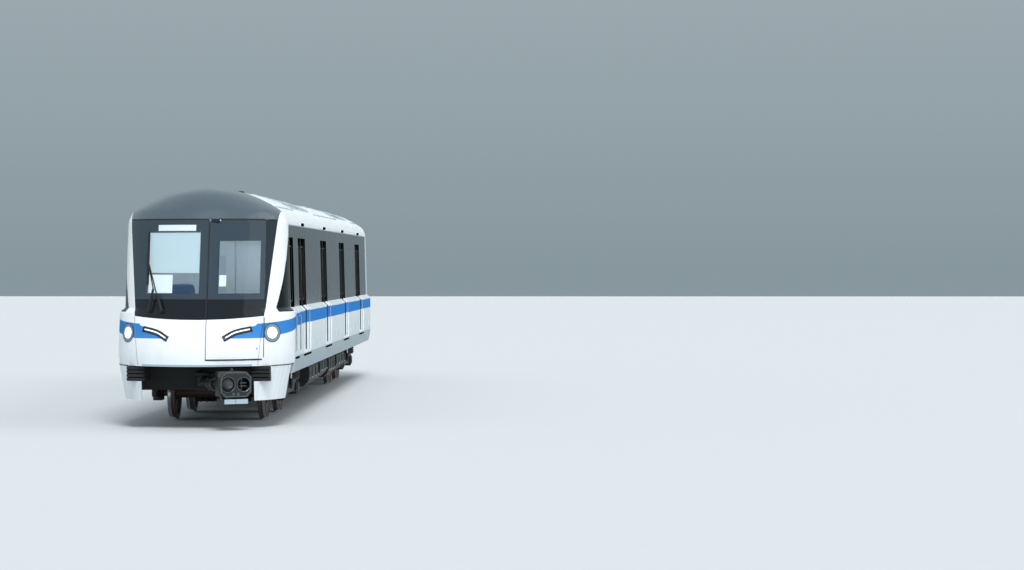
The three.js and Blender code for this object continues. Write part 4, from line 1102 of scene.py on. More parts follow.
@dataclass
class NoseTrim(Part):
    """Seams, lamps and wiper of the nose, all set on its skin."""

    seam_step: float = 0.04
    lamp_centre: tuple[float, float] = (1.143, 1.48)
    lamp_radius: float = 0.142
    lamp_turn: float = 13.0
    door_edges: tuple[float, float] = (0.172, 1.02)
    door_bottom: float = 1.08
    band_height: float = 2.01        # the glass is darker below this height, where the border's painted light ends

    def build(self) -> None:
        """Builds the trim of the nose."""
        self.add_seams()
        self.add_lip()
        for side_name, side in SIDES.items():
            self.add_headlamp(side_name, side)
            self.add_blade_lamp(side_name, side)
            self.add_quarter_seal(side_name, side)
        self.add_wipers()
        self.add_blanks()
        self.add_door_handle()
        self.add_climber_bolts()

    def route(self, corners: Sequence[tuple[float, float]]) -> list[tuple[float, float]]:
        """Divides a route seen from the front into short steps.

        Args:
            corners: Its corners, in x and height.

        Returns:
            The points along it.
        """
        points = []
        for (x0, z0), (x1, z1) in zip(corners, corners[1:]):
            steps = max(1, round(math.hypot(x1 - x0, z1 - z0) / self.seam_step))
            points += [(x0 + (x1 - x0) * step / steps, z0 + (z1 - z0) * step / steps)
                       for step in range(steps)]
        return [*points, corners[-1]]

    def strip(self, mould: Mould, corners: Sequence[tuple[float, float]], width: float, proud: float) -> None:
        """Lays a strip on the nose along a route seen from the front."""
        route = self.route(corners)
        path = [on_nose(x, z) for x, z in route]
        normals = [nose_normal(x, z) for x, z in route]
        mould.ribbon(path, normals, width, proud)

    def add_seams(self) -> None:
        """Adds the rubber and sealant joints between the nose's pieces."""
        left, right = self.door_edges
        top_edge = mask_edge(MASK_TOP) - 0.012
        foot = self.door_bottom
        band = self.band_height
        dark = Mould()
        # Columns: both ends, width, height above the skin.
        for start, end, width, proud in (
            ((-top_edge, MASK_TOP), (left - 0.012, MASK_TOP), 0.016, 0.003),
            ((right + 0.02, MASK_TOP), (top_edge, MASK_TOP), 0.016, 0.003),
            ((left - 0.008, 1.70), (left - 0.008, MASK_TOP), 0.014, 0.003),
            ((-mask_edge(band) + 0.02, band), (left - 0.016, band), 0.008, 0.0025),
            ((left - 0.006, foot - 0.012), (right - 0.02, foot - 0.012), 0.020, 0.003),
            ((right + 0.006, 1.10), (right + 0.006, 1.72), 0.010, 0.003),
            ((left - 0.006, foot), (left - 0.006, 1.68), 0.005, 0.002),
            ((0.335, MASK_TOP + 0.0015), (right - 0.015, MASK_TOP + 0.0015), 0.021, 0.003),
        ):
            self.strip(dark, [start, end], width, proud)
        for side in SIDES.values():
            self.corner_joint(dark, side)
        finish_piece(dark, "nose_rubber_joints", self.finishes.rubber)
        door = Mould()
        self.strip(door, [(left + 0.012, band), (right - 0.012, band)], 0.008, 0.0025)
        finish_piece(door, "evacuation_door_joint", self.finishes.rubber,
                     body="evacuation_door")
        pale = Mould()
        for side in SIDES.values():
            top = 1.735 if side < 0 else 1.06
            self.strip(pale, [(side * mask_edge(0.98), 0.98), (side * mask_edge(top), top)], 0.006, 0.0015)
        for side in SIDES.values():
            joint = [on_side(side, 1.75, z) for z in self.heights(0.98, CANTRAIL)]
            pale.ribbon(joint, [Vector((side, 0.0, 0.03)).normalized()] * len(joint), 0.006, 0.0015)
        finish_piece(pale, "nose_sealant_joints", self.finishes.seam)

    def corner_joint(self, mould: Mould, side: int) -> None:
        """Lays the joint between a corner and its skirt, from beside the anti-climber round to the side."""
        height = 0.963
        steps = 24
        front, rear = nose_depth(1.13, height), 1.70
        path, normals = [], []
        for step in range(steps + 1):
            y = front + (rear - front) * step / steps
            x = side * self.width_at(y, height)
            path.append(place(x, y, height))
            normals.append(nose_normal(x, height) if y < 1.2 else Vector((side, 0.0, 0.0)))
        mould.ribbon(path, normals, 0.014, 0.0025)

    def heights(self, low: float, high: float) -> list[float]:
        """Gives heights from low to high that take in each body section between them."""
        inside = [row[0] for row in SECTIONS if low < row[0] < high]
        return [low, *inside, high]

    def add_lip(self) -> None:
        """Adds the pale strip along the lower edge of the front panel."""
        lip = Mould()
        self.strip(lip, [(-0.86, 0.982), (0.86, 0.982)], 0.030, 0.004)
        finish_piece(lip, "nose_lip_strip", self.finishes.pale_trim)

    def lamp_axis(self, side: int) -> Vector:
        """Gives the headlamp's direction of light."""
        turn = math.radians(self.lamp_turn)
        return Vector((side * math.sin(turn), -math.cos(turn), 0.0))

    def lamp_rim(self, side: int, radius: float, proud: float, steps: int = 56) -> list[Vector]:
        """Gives the points where a round column along the lamp's axis meets the nose's skin.

        Args:
            side: 1 on the left, -1 on the right.
            radius: The column's radius.
            proud: Distance past the skin, along the axis.
            steps: Number of points.

        Returns:
            The points, in order.
        """
        axis = self.lamp_axis(side)
        x, z = self.lamp_centre
        back = place(side * x, nose_depth(x, z), z) - axis * 0.4
        across = Vector((axis.y, -axis.x, 0.0))
        return [nose_hit(start, axis) + axis * proud for start in circle(back, across, UP, radius, steps)]

    def add_headlamp(self, side_name: str, side: int) -> None:
        """Builds a round headlamp: enamelled ring, rubber rim and lit disc."""
        radius = self.lamp_radius
        bowl = Mould()
        bowl.loft([self.lamp_rim(side, reach, proud) for reach, proud in (
            (radius - 0.001, -0.030), (radius - 0.001, 0.002), (radius - 0.006, 0.003), (0.093, 0.001),
            (0.090, -0.010), (0.010, -0.020), (0.010, -0.058), (radius - 0.020, -0.058),
        )], closed=True)
        finish_piece(bowl, f"headlamp_bowl_{side_name}", self.finishes.bezel,
                     stands_for=(f"headlamp_{side_name}",))
        rim = Mould()
        rim.loft([self.lamp_rim(side, reach, proud) for reach, proud in (
            (radius - 0.003, -0.020), (radius - 0.003, 0.006), (radius + 0.006, 0.005),
            (radius + 0.006, -0.020),
        )], closed=True)
        finish_piece(rim, f"headlamp_rim_{side_name}", self.finishes.rubber)
        lit = Mould()
        lit.loft([self.lamp_rim(side, reach, proud) for reach, proud in (
            (0.088, -0.014), (0.088, 0.002), (0.081, 0.007), (0.055, 0.011), (0.004, 0.013))])
        finish_piece(lit, f"headlamp_light_{side_name}", self.finishes.diffuser)

    def add_blade_lamp(self, side_name: str, side: int) -> None:
        """Builds a slim bent lamp: rubber surround in its pocket, dark bed and lit tube."""
        body = "evacuation_door" if side > 0 else CAR_BODY
        middle = self.route([(0.432, 1.392), (0.500, 1.432), (0.560, 1.470), (0.620, 1.497), (0.700, 1.518),
                             (0.780, 1.534), (0.856, 1.549)])
        path = [on_nose(side * x, z) for x, z in middle]
        normals = [nose_normal(side * x, z) for x, z in middle]
        surround = Mould()
        surround.ribbon(path, normals, 0.090, 0.003, sink=0.012)
        finish_piece(surround, f"blade_lamp_surround_{side_name}", self.finishes.rubber,
                     body=body)
        bed = Mould()
        bed.ribbon(path[:-1], normals[:-1], 0.048, 0.0045, sink=0.0)
        finish_piece(bed, f"blade_lamp_bed_{side_name}", self.finishes.dome, body=body)
        tube = Mould()
        tube.sweep([on_nose(side * x, z, 0.006) for x, z in middle[1:-1]], 0.0075, 10)
        finish_piece(tube, f"blade_lamp_light_{side_name}", self.finishes.diffuser, body=body)

    def add_quarter_seal(self, side_name: str, side: int) -> None:
        """Adds the rubber frame of the triangular side window."""
        corners = ((0.944, 1.815), (1.730, 1.815), (1.730, 3.005))
        steps = 24
        path, normals = [], []
        for (y0, z0), (y1, z1) in zip(corners, (*corners[1:], corners[0])):
            for step in range(steps):
                share = step / steps
                y, z = y0 + (y1 - y0) * share, z0 + (z1 - z0) * share
                x = self.width_at(y, z)
                path.append(place(side * x, y, z))
                curved = y < 1.4
                normals.append(nose_normal(side * min(x, 1.25), z) if curved else Vector((side, 0.0, 0.05)))
        seal = Mould()
        seal.ribbon(path, normals, 0.016, 0.003, closed=True)
        finish_piece(seal, f"quarter_light_seal_{side_name}", self.finishes.rubber)

    def width_at(self, y: float, z: float) -> float:
        """Gives the nose's half width at a distance behind its foremost point and a height."""
        half_width, front = section_value(z, 1), section_value(z, 2)
        depth = min(NOSE_DEPTH, CURVE_END - front)
        behind = max(0.0, 1.0 - (y - front) / depth)
        return half_width * math.sqrt(max(0.0, 1.0 - behind * behind))

    def add_wipers(self) -> None:
        """Builds the parallel-arm wiper: two spindles, two arms, and the upright blade."""
        metal = Mould()
        rubber = Mould()
        joint_x, joint_z = -0.797, 2.66
        foot = 1.825
        for base_x, bend in ((-0.745, (-0.668, 2.16)), (-0.530, (-0.610, 2.08))):
            base = on_nose(base_x, foot, 0.0)
            normal = nose_normal(base_x, foot)
            metal.bar(base - normal * 0.01, base + normal * 0.055, 0.030, 20, 0.004)
            rise = [on_nose(base_x, foot, 0.045), on_nose((base_x + bend[0]) / 2, 1.97, 0.052),
                    on_nose(*bend, 0.055)]
            metal.sweep([*rise, on_nose(joint_x, joint_z, 0.045)], 0.010, 8)
            metal.sweep(rise, 0.019, 8)
        metal.sweep([on_nose(joint_x, joint_z + drop, 0.040) for drop in (-0.07, 0.07)], 0.017, 8)
        finish_piece(metal, "wiper_arms", self.finishes.rubber)
        blade = self.route([(-0.797, 2.23), (-0.800, 3.06)])
        rubber.ribbon([on_nose(x, z, 0.016) for x, z in blade], [nose_normal(x, z) for x, z in blade],
                      0.020, 0.014, sink=0.013)
        finish_piece(rubber, "wiper_blade", self.finishes.rubber)

    def add_blanks(self) -> None:
        """Adds the blank sheets behind the glass and the drawn-down part of the sun blind."""
        # The card and blind finishes glow as painted light.
        sheets = (
            ("cab_card", CAR_BODY, self.finishes.card, (-0.815, -0.40), (2.115, 2.40)),
            ("cab_blind", CAR_BODY, self.finishes.blind, (-0.815, 0.03), (2.43, 3.06)),
            ("evacuation_door_card", "evacuation_door", self.finishes.card, (0.350, 0.455), (2.22, 2.395)),
        )
        for name, body, finish, (x0, x1), (z0, z1) in sheets:
            sheet = Mould()
            steps = 12
            outline = ((z0, -0.026), (z1, -0.026), (z1, -0.030), (z0, -0.030))
            sheet.loft([[on_nose(x0 + (x1 - x0) * step / steps, z, depth) for z, depth in outline]
                        for step in range(steps + 1)])
            finish_piece(sheet, name, finish, body=body)

    def add_door_handle(self) -> None:
        """Adds the flush lock of the evacuation door and the rail on its inside."""
        lock = Mould()
        centre = on_nose(0.93, 1.24)
        normal = nose_normal(0.93, 1.24)
        lock.bar(centre - normal * 0.01, centre + normal * 0.004, 0.018, 24, 0.001)
        finish_piece(lock, "evacuation_door_lock", self.finishes.stainless,
                     body="evacuation_door")
        rail = Mould()
        rail.sweep([on_nose(x, 1.90, depth) for x, depth in (
            (0.40, -0.055), (0.40, -0.13), (0.85, -0.13), (0.85, -0.055))], 0.014, 12)
        finish_piece(rail, "evacuation_door_rail", self.finishes.stainless,
                     body="evacuation_door")

    def add_climber_bolts(self) -> None:
        """Adds the bolts of the ribbed anti-climbers."""
        bolts = Mould()
        for side in SIDES.values():
            for x in (0.90, 1.07):
                for z in (0.755, 0.93):
                    foot = place(side * x, 0.52, z)
                    bolts.bar(foot, foot - REARWARD * 0.012, 0.012, 6)
        finish_piece(bolts, "anti_climber_bolts", self.finishes.casting)


@dataclass
class SideTrim(Part):
    """Door glass, rubber, lamps and rails along the two sides."""

    leaf_glass_depth: tuple[float, float] = (LEAF_FACE + 0.006, LEAF_FACE + 0.012)
    leaf_window_centre: float = 0.325
    leaf_window_half: float = 0.2135
    glass_heights: tuple[float, float] = (1.9615, 2.8585)
    band_end: float = 19.598

    def build(self) -> None:
        """Builds the trim of both sides."""
        for side_name, side in SIDES.items():
            for number, centre in enumerate(DOORWAY_CENTRES, start=1):
                self.add_leaf_trim(side_name, side, number, centre)
            self.add_cab_door_trim(side_name, side)
            self.add_doorway_trim(side_name, side)
            self.add_lines(side_name, side)

    def pane(self, mould: Mould, side: int, span: Sequence[float], heights: Sequence[float],
             depths: Sequence[float]) -> None:
        """Adds a pane that follows the skin's slope between two depths behind it."""
        (outer, inner), (low, high), (front, rear) = depths, heights, span
        outline = [on_side(side, front, z, -depth) for z, depth in (
            (low, outer), (high, outer), (high, inner), (low, inner))]
        mould.prism(outline, REARWARD * (rear - front))

    def add_leaf_trim(self, side_name: str, side: int, number: int, centre: float) -> None:
        """Adds each sliding leaf's glass, window rubber and meeting rubber."""
        foot, head = 1.12, 2.99
        for end, way in (("front", -1), ("rear", 1)):
            tag = f"{number}_{end}_{side_name}"
            body = f"leaf_{tag}"
            middle = centre + way * self.leaf_window_centre
            window = (middle - self.leaf_window_half, middle + self.leaf_window_half)
            glass = Mould()
            self.pane(glass, side, window, self.glass_heights, self.leaf_glass_depth)
            finish_piece(glass, f"leaf_glass_{tag}", self.finishes.pane, body=body)
            rubber = Mould()
            self.window_rubber(rubber, side, window, self.glass_heights, LEAF_FACE - 0.001)
            edge = sorted((centre + way * 0.0012, centre + way * 0.0030))
            self.pane(rubber, side, edge, (foot, head + 0.04), (LEAF_FACE + 0.002, LEAF_FACE + 0.028))
            face = sorted((centre + way * 0.0012, centre + way * 0.0240))
            for heights in ((foot, LEDGE_LOW), (LEDGE_LOW, LEDGE_TOP), (LEDGE_TOP, head)):
                self.pane(rubber, side, face, heights, (LEAF_FACE - 0.014, LEAF_FACE + 0.003))
            finish_piece(rubber, f"leaf_rubber_{tag}", self.finishes.rubber, body=body)

    def window_rubber(self, mould: Mould, side: int, span: Sequence[float], heights: Sequence[float],
                      depth: float) -> None:
        """Lays a glazing rubber round a window that lies at a depth behind the skin."""
        path = [on_side(side, y, z, -depth) for y, z in rounded_outline(span, heights, 0.05, 4)]
        mould.ribbon(path, [Vector((side, 0.0, 0.045)).normalized()] * len(path), 0.022, 0.002,
                     sink=0.004, closed=True)

    def add_cab_door_trim(self, side_name: str, side: int) -> None:
        """Adds the cab door's glass, rubber, handle and lock."""
        front, rear = CAB_DOOR
        body = f"cab_door_{side_name}"
        glass = Mould()
        span = (front + 0.1115, rear - 0.1115)
        self.pane(glass, side, span, self.glass_heights, (0.045, 0.051))
        finish_piece(glass, f"cab_door_glass_{side_name}", self.finishes.pane, body=body)
        rubber = Mould()
        self.window_rubber(rubber, side, span, self.glass_heights, 0.024)
        finish_piece(rubber, f"cab_door_rubber_{side_name}", self.finishes.rubber, body=body)
        handle = Mould()
        x = side * (section_value(1.3, 1) - 0.025)
        y = front + 0.09
        for z in (1.26, 1.38):
            handle.bar(place(x - side * 0.004, y, z), place(x + side * 0.020, y, z), 0.008, 12)
        handle.bar(place(x + side * 0.018, y, 1.245), place(x + side * 0.018, y, 1.395), 0.009, 16)
        finish_piece(handle, f"cab_door_handle_{side_name}", self.finishes.stainless, body=body)
        latch = Mould()
        latch.block(place(x - 0.003, front + 0.06, 1.45), place(x + 0.003, front + 0.12, 1.55), 0.002)
        finish_piece(latch, f"cab_door_lock_{side_name}", self.finishes.rubber, body=body)

    def add_doorway_trim(self, side_name: str, side: int) -> None:
        """Adds the sill treads, the door lamps, and the brushes and rubber beside every doorway."""
        metal, lamps, brushes, rubber = Mould(), Mould(), Mould(), Mould()
        for centre in DOORWAY_CENTRES:
            for step in range(5):
                x0 = side * (1.372 + step * 0.006)
                low = place(min(x0, x0 + side * 0.003), centre - DOORWAY_HALF + 0.01, 1.049)
                high = place(max(x0, x0 + side * 0.003), centre + DOORWAY_HALF - 0.01, 1.0525)
                metal.block(low, high)
            lamp, outward = place(side * 1.328, centre, 3.230), LEFTWARD * side
            lamps.bar(lamp - outward * 0.006, lamp + outward * 0.010, 0.022, 20, 0.004)
            seals = ((brushes, (1.11, 1.74, LEDGE_LOW, LEDGE_TOP)), (rubber, (LEDGE_TOP, 2.4, 2.99)))
            for way in (-1, 1):
                for seal, heights in seals:
                    path = [on_side(side, centre + way * DOORWAY_HALF * 0.9985, z, -0.023) for z in heights]
                    seal.ribbon(path, [REARWARD * -way] * len(path), 0.010, 0.002, 0.003)
        finish_piece(metal, f"sill_treads_{side_name}", self.finishes.stainless)
        finish_piece(lamps, f"door_lamps_{side_name}", self.finishes.rubber)
        finish_piece(brushes, f"doorway_brushes_{side_name}", self.finishes.pale_trim)
        finish_piece(rubber, f"doorway_rubber_{side_name}", self.finishes.rubber)

    def add_lines(self, side_name: str, side: int) -> None:
        """Adds the rain strip, the joints between glass and panels, and the rails beside the cab door."""
        strip = Mould()
        normal = Vector((side, 0.0, 0.05)).normalized()
        for y0, y1 in ((1.80, 6.2), (6.2, 10.5), (10.5, 14.9), (14.9, 19.9)):
            path = [on_side(side, y, CANTRAIL + 0.004) for y in (y0, (y0 + y1) / 2, y1 - 0.012)]
            strip.ribbon(path, [normal] * 3, 0.016, 0.004, sink=0.003)
        finish_piece(strip, f"rain_strip_{side_name}", self.finishes.pale_trim)
        joints = Mould()
        doorways = [(centre - DOORWAY_HALF, centre + DOORWAY_HALF) for centre in DOORWAY_CENTRES]
        for centre in DOORWAY_CENTRES[:-1]:
            middle = centre + DOORWAY_PITCH / 2
            for y in (middle - 1.10, middle + 1.10):
                path = [on_side(side, y, z) for z in (LEDGE_TOP + 0.004, 2.5, CANTRAIL - 0.004)]
                joints.ribbon(path, [normal] * 3, 0.007, 0.001, sink=0.003)
        path = [on_side(side, self.band_end + 0.001, z) for z in (LEDGE_TOP, 2.5, CANTRAIL)]
        joints.ribbon(path, [normal] * 3, 0.009, 0.002, sink=0.003)
        for start, end in zip((1.80, *(high for _, high in doorways)), (*(low for low, _ in doorways), 19.9)):
            if start < CAB_DOOR[0]:
                start = CAB_DOOR[1]
            low = [on_side(side, y, 1.055) for y in (start + 0.01, end - 0.01)]
            joints.ribbon(low, [Vector((side, 0.0, 0.0))] * 2, 0.005, 0.001, sink=0.003)
        finish_piece(joints, f"side_joints_{side_name}", self.finishes.seam)
        rails = Mould()
        x = side * section_value(1.3, 1)
        foot, head = 1.15, 1.72
        for y in (1.815, 2.565):
            rails.sweep([place(x + side * proud, y, z) for proud, z in (
                (-0.004, foot), (0.012, foot + 0.006), (0.016, foot + 0.03),
                (0.016, head - 0.03), (0.012, head - 0.006), (-0.004, head))], 0.010, 12)
        finish_piece(rails, f"cab_door_rails_{side_name}", self.finishes.stainless)


@dataclass
class Saloon(Part):
    """What shows through the windows: floor covering, lights, grab rails and straps."""

    rail_x: float = 0.68
    rail_height: float = 2.98
    rail_span: tuple[float, float] = (2.95, 19.65)
    strap_pitch: float = 0.5

    def build(self) -> None:
        """Builds the saloon's visible fittings."""
        covering = Mould()
        covering.block(place(-1.27, 2.61, 1.1005), place(1.27, 19.90, 1.1030))
        covering.block(place(-1.2, 1.80, 1.1005), place(1.2, 2.54, 1.1030))
        finish_piece(covering, "floor_covering", self.finishes.floor)
        lights = Mould()
        for x in (-0.42, 0.42):
            for step in range(12):
                y = 2.85 + step * 1.4
                lights.block(place(x - 0.06, y, 3.262), place(x + 0.06, y + 1.32, 3.2795), 0.004)
        finish_piece(lights, "saloon_lights", self.finishes.diffuser)
        rails, straps, grips = Mould(), Mould(), Mould()
        start, end = self.rail_span
        height = self.rail_height
        hangers = round((end - start) / 2.1)
        for side in SIDES.values():
            x = side * self.rail_x
            rails.sweep([place(x, y, z) for y, z in (
                (start, CEILING - 0.002), (start, height + 0.03), (start + 0.03, height),
                (end - 0.03, height), (end, height + 0.03), (end, CEILING - 0.002))], 0.017, 12)
            for step in range(1, hangers):
                y = start + (end - start) * step / hangers
                rails.bar(place(x, y, height), place(x, y, CEILING - 0.001), 0.012, 12)
            for step in range(1, int((end - start) / self.strap_pitch)):
                y = start + step * self.strap_pitch
                straps.block(place(x - 0.004, y - 0.014, 2.82), place(x + 0.004, y + 0.014, height - 0.012),
                             0.001)
                grips.ring(place(x, y, 2.775), LEFTWARD, 0.055, 0.018, 20, 6)
        finish_piece(rails, "saloon_rails", self.finishes.stainless)
        finish_piece(straps, "saloon_straps", self.finishes.strap)
        finish_piece(grips, "saloon_strap_grips", self.finishes.lining)


@dataclass
class Cab(Part):
    """Driver's place behind the windscreen, with its light, desk fittings and seat."""

    seat_place: tuple[float, float] = (-0.45, 1.56)

    def build(self) -> None:
        """Builds the cab's fittings."""
        self.add_light()
        self.add_desk_fittings()
        self.add_seat()
        self.add_partition_fittings()

    def add_light(self) -> None:
        """Adds the lit panels under the cab's roof."""
        light = Mould()
        for x in (-0.40, 0.62):
            light.block(place(x - 0.30, 1.45, 3.30), place(x + 0.30, 2.30, 3.325), 0.004)
            for y in (1.50, 2.25):
                light.bar(place(x, y, 3.31), place(x, y, 3.52), 0.008, 8)
        finish_piece(light, "cab_lights", self.finishes.cab_light)

    def add_desk_fittings(self) -> None:
        """Adds the screens, levers and buttons on the desk."""
        screens = Mould()
        for x in (-0.72, -0.40, -0.10):
            screens.block(place(x - 0.13, 0.99, 1.935), place(x + 0.13, 1.02, 2.085), 0.006)
            screens.block(place(x - 0.03, 1.00, 1.90), place(x + 0.03, 1.02, 1.95))
        finish_piece(screens, "desk_screens", self.finishes.desk)
        levers = Mould()
        for x, y in ((-0.62, 1.12), (-0.28, 1.12)):
            levers.bar(place(x, y, 1.86), place(x, y + 0.01, 1.99), 0.010, 12)
            levers.bar(place(x, y + 0.01, 1.975), place(x, y + 0.012, 2.03), 0.024, 16, 0.006)
        for column in range(14):
            for row in range(3):
                x, y = -0.84 + column * 0.065, 1.19 + row * 0.035
                z = 1.95 - (y - 0.96) * 0.09 / 0.34
                levers.bar(place(x, y, z - 0.004), place(x, y, z + 0.012), 0.010, 10)
        finish_piece(levers, "desk_controls", self.finishes.stainless)

    def add_seat(self) -> None:
        """Builds the driver's cushions and their stand in place of the plain solid."""
        x, y = self.seat_place
        stand = Mould()
        stand.bar(place(x, y, 1.1005), place(x, y, 1.13), 0.20, 40, 0.008)
        stand.bar(place(x, y, 1.12), place(x, y, 1.50), 0.055, 24)
        stand.block(place(x - 0.20, y - 0.19, 1.485), place(x + 0.20, y + 0.21, 1.51), 0.008)
        stand.block(place(x - 0.03, y + 0.19, 1.49), place(x + 0.03, y + 0.245, 1.70), 0.006)
        finish_piece(stand, "seat_stand", self.finishes.desk, stands_for=("driver_seat",))
        cushion = self.cushion("seat_cushion", (0.225, 0.225, 0.046), place(x, y + 0.015, 1.556), 0.0)
        back = self.cushion("seat_back", (0.215, 0.36, 0.044), place(x, y + 0.285, 1.89), math.radians(82))

    def cushion(self, name: str, half_size: tuple[float, float, float], centre: Vector,
                lean: float) -> bpy.types.Object:
        """Builds a crowned cushion whose sides pull in between its corners, with two sewn channels.

        Args:
            name: Its name.
            half_size: Half its width, length and thickness.
            centre: Its middle.
            lean: How far it leans back from lying flat.

        Returns:
            The cushion.
        """
        wide, long, thick = half_size
        steps = 112
        squareness = 0.38              # 1 gives an ellipse, 0 a rectangle
        turn = Matrix.Translation(centre) @ Matrix.Rotation(lean, 4, "X")
        rings = []
        for layer in range(9):
            share = -1 + layer / 4
            swell = math.sqrt(max(0.0, 1.0 - share * share * 0.86))
            ring = []
            for step in range(steps):
                angle = math.tau * step / steps
                flat_x, flat_y = (math.copysign(abs(part) ** squareness, part)
                                  for part in (math.cos(angle), math.sin(angle)))
                pull = 1.0 - 0.025 * math.cos(2 * angle) ** 2
                ring.append(turn @ Vector((
                    wide * flat_x * pull * (0.82 + 0.18 * swell),
                    long * flat_y * pull * (0.82 + 0.18 * swell),
                    thick * share * 0.8,
                )))
            rings.append(ring)
        crown = [[turn @ self.crowned(turn.inverted() @ point, scale, half_size) for point in rings[-1]]
                 for scale in (0.8, 0.6, 0.4, 0.2, 0.02)]
        mould = Mould()
        mould.loft([*rings, *crown])
        return finish_piece(mould, name, self.finishes.cloth, sharp_angle=60.0)

    def crowned(self, point: Vector, scale: float, half_size: tuple[float, float, float]) -> Vector:
        """Gives a point of the cushion's crown, dipped where a seam crosses it."""
        wide, _, thick = half_size
        x, y = point.x * scale, point.y * scale
        seam = sum(math.exp(-((x - offset * wide) / 0.012) ** 2) for offset in (-0.45, 0.45))
        return Vector((x, y, thick * (0.8 + 0.2 * (1 - scale * scale)) - 0.007 * seam))

    def add_partition_fittings(self) -> None:
        """Adds the passage door's glass and handle, and the cabinets on the partition."""
        glass = Mould()
        glass.block(place(-0.1785, 2.572, 2.0015), place(0.1785, 2.578, 2.6985))
        finish_piece(glass, "passage_door_glass", self.finishes.frosted, body="passage_door")
        handle = Mould()
        height = 2.02
        for y0, y1 in ((2.520, 2.556), (2.596, 2.630)):
            handle.bar(place(0.27, y0, height), place(0.27, y1, height), 0.010, 12)
        for y in (2.526, 2.624):
            handle.bar(place(0.27, y, height), place(0.16, y, height), 0.009, 12)
        finish_piece(handle, "passage_door_handle", self.finishes.stainless, body="passage_door")
        boxes = Mould()
        # Columns: lowest and highest x, lowest and highest height.
        for x0, x1, z0, z1 in (
            (-1.10, -0.46, 1.35, 1.90), (-1.05, -0.46, 2.05, 2.85), (0.46, 1.05, 1.35, 2.85),
        ):
            boxes.block(place(x0, 2.512, z0), place(x1, 2.5495, z1), 0.008)
        finish_piece(boxes, "cab_cabinets", self.finishes.lining)


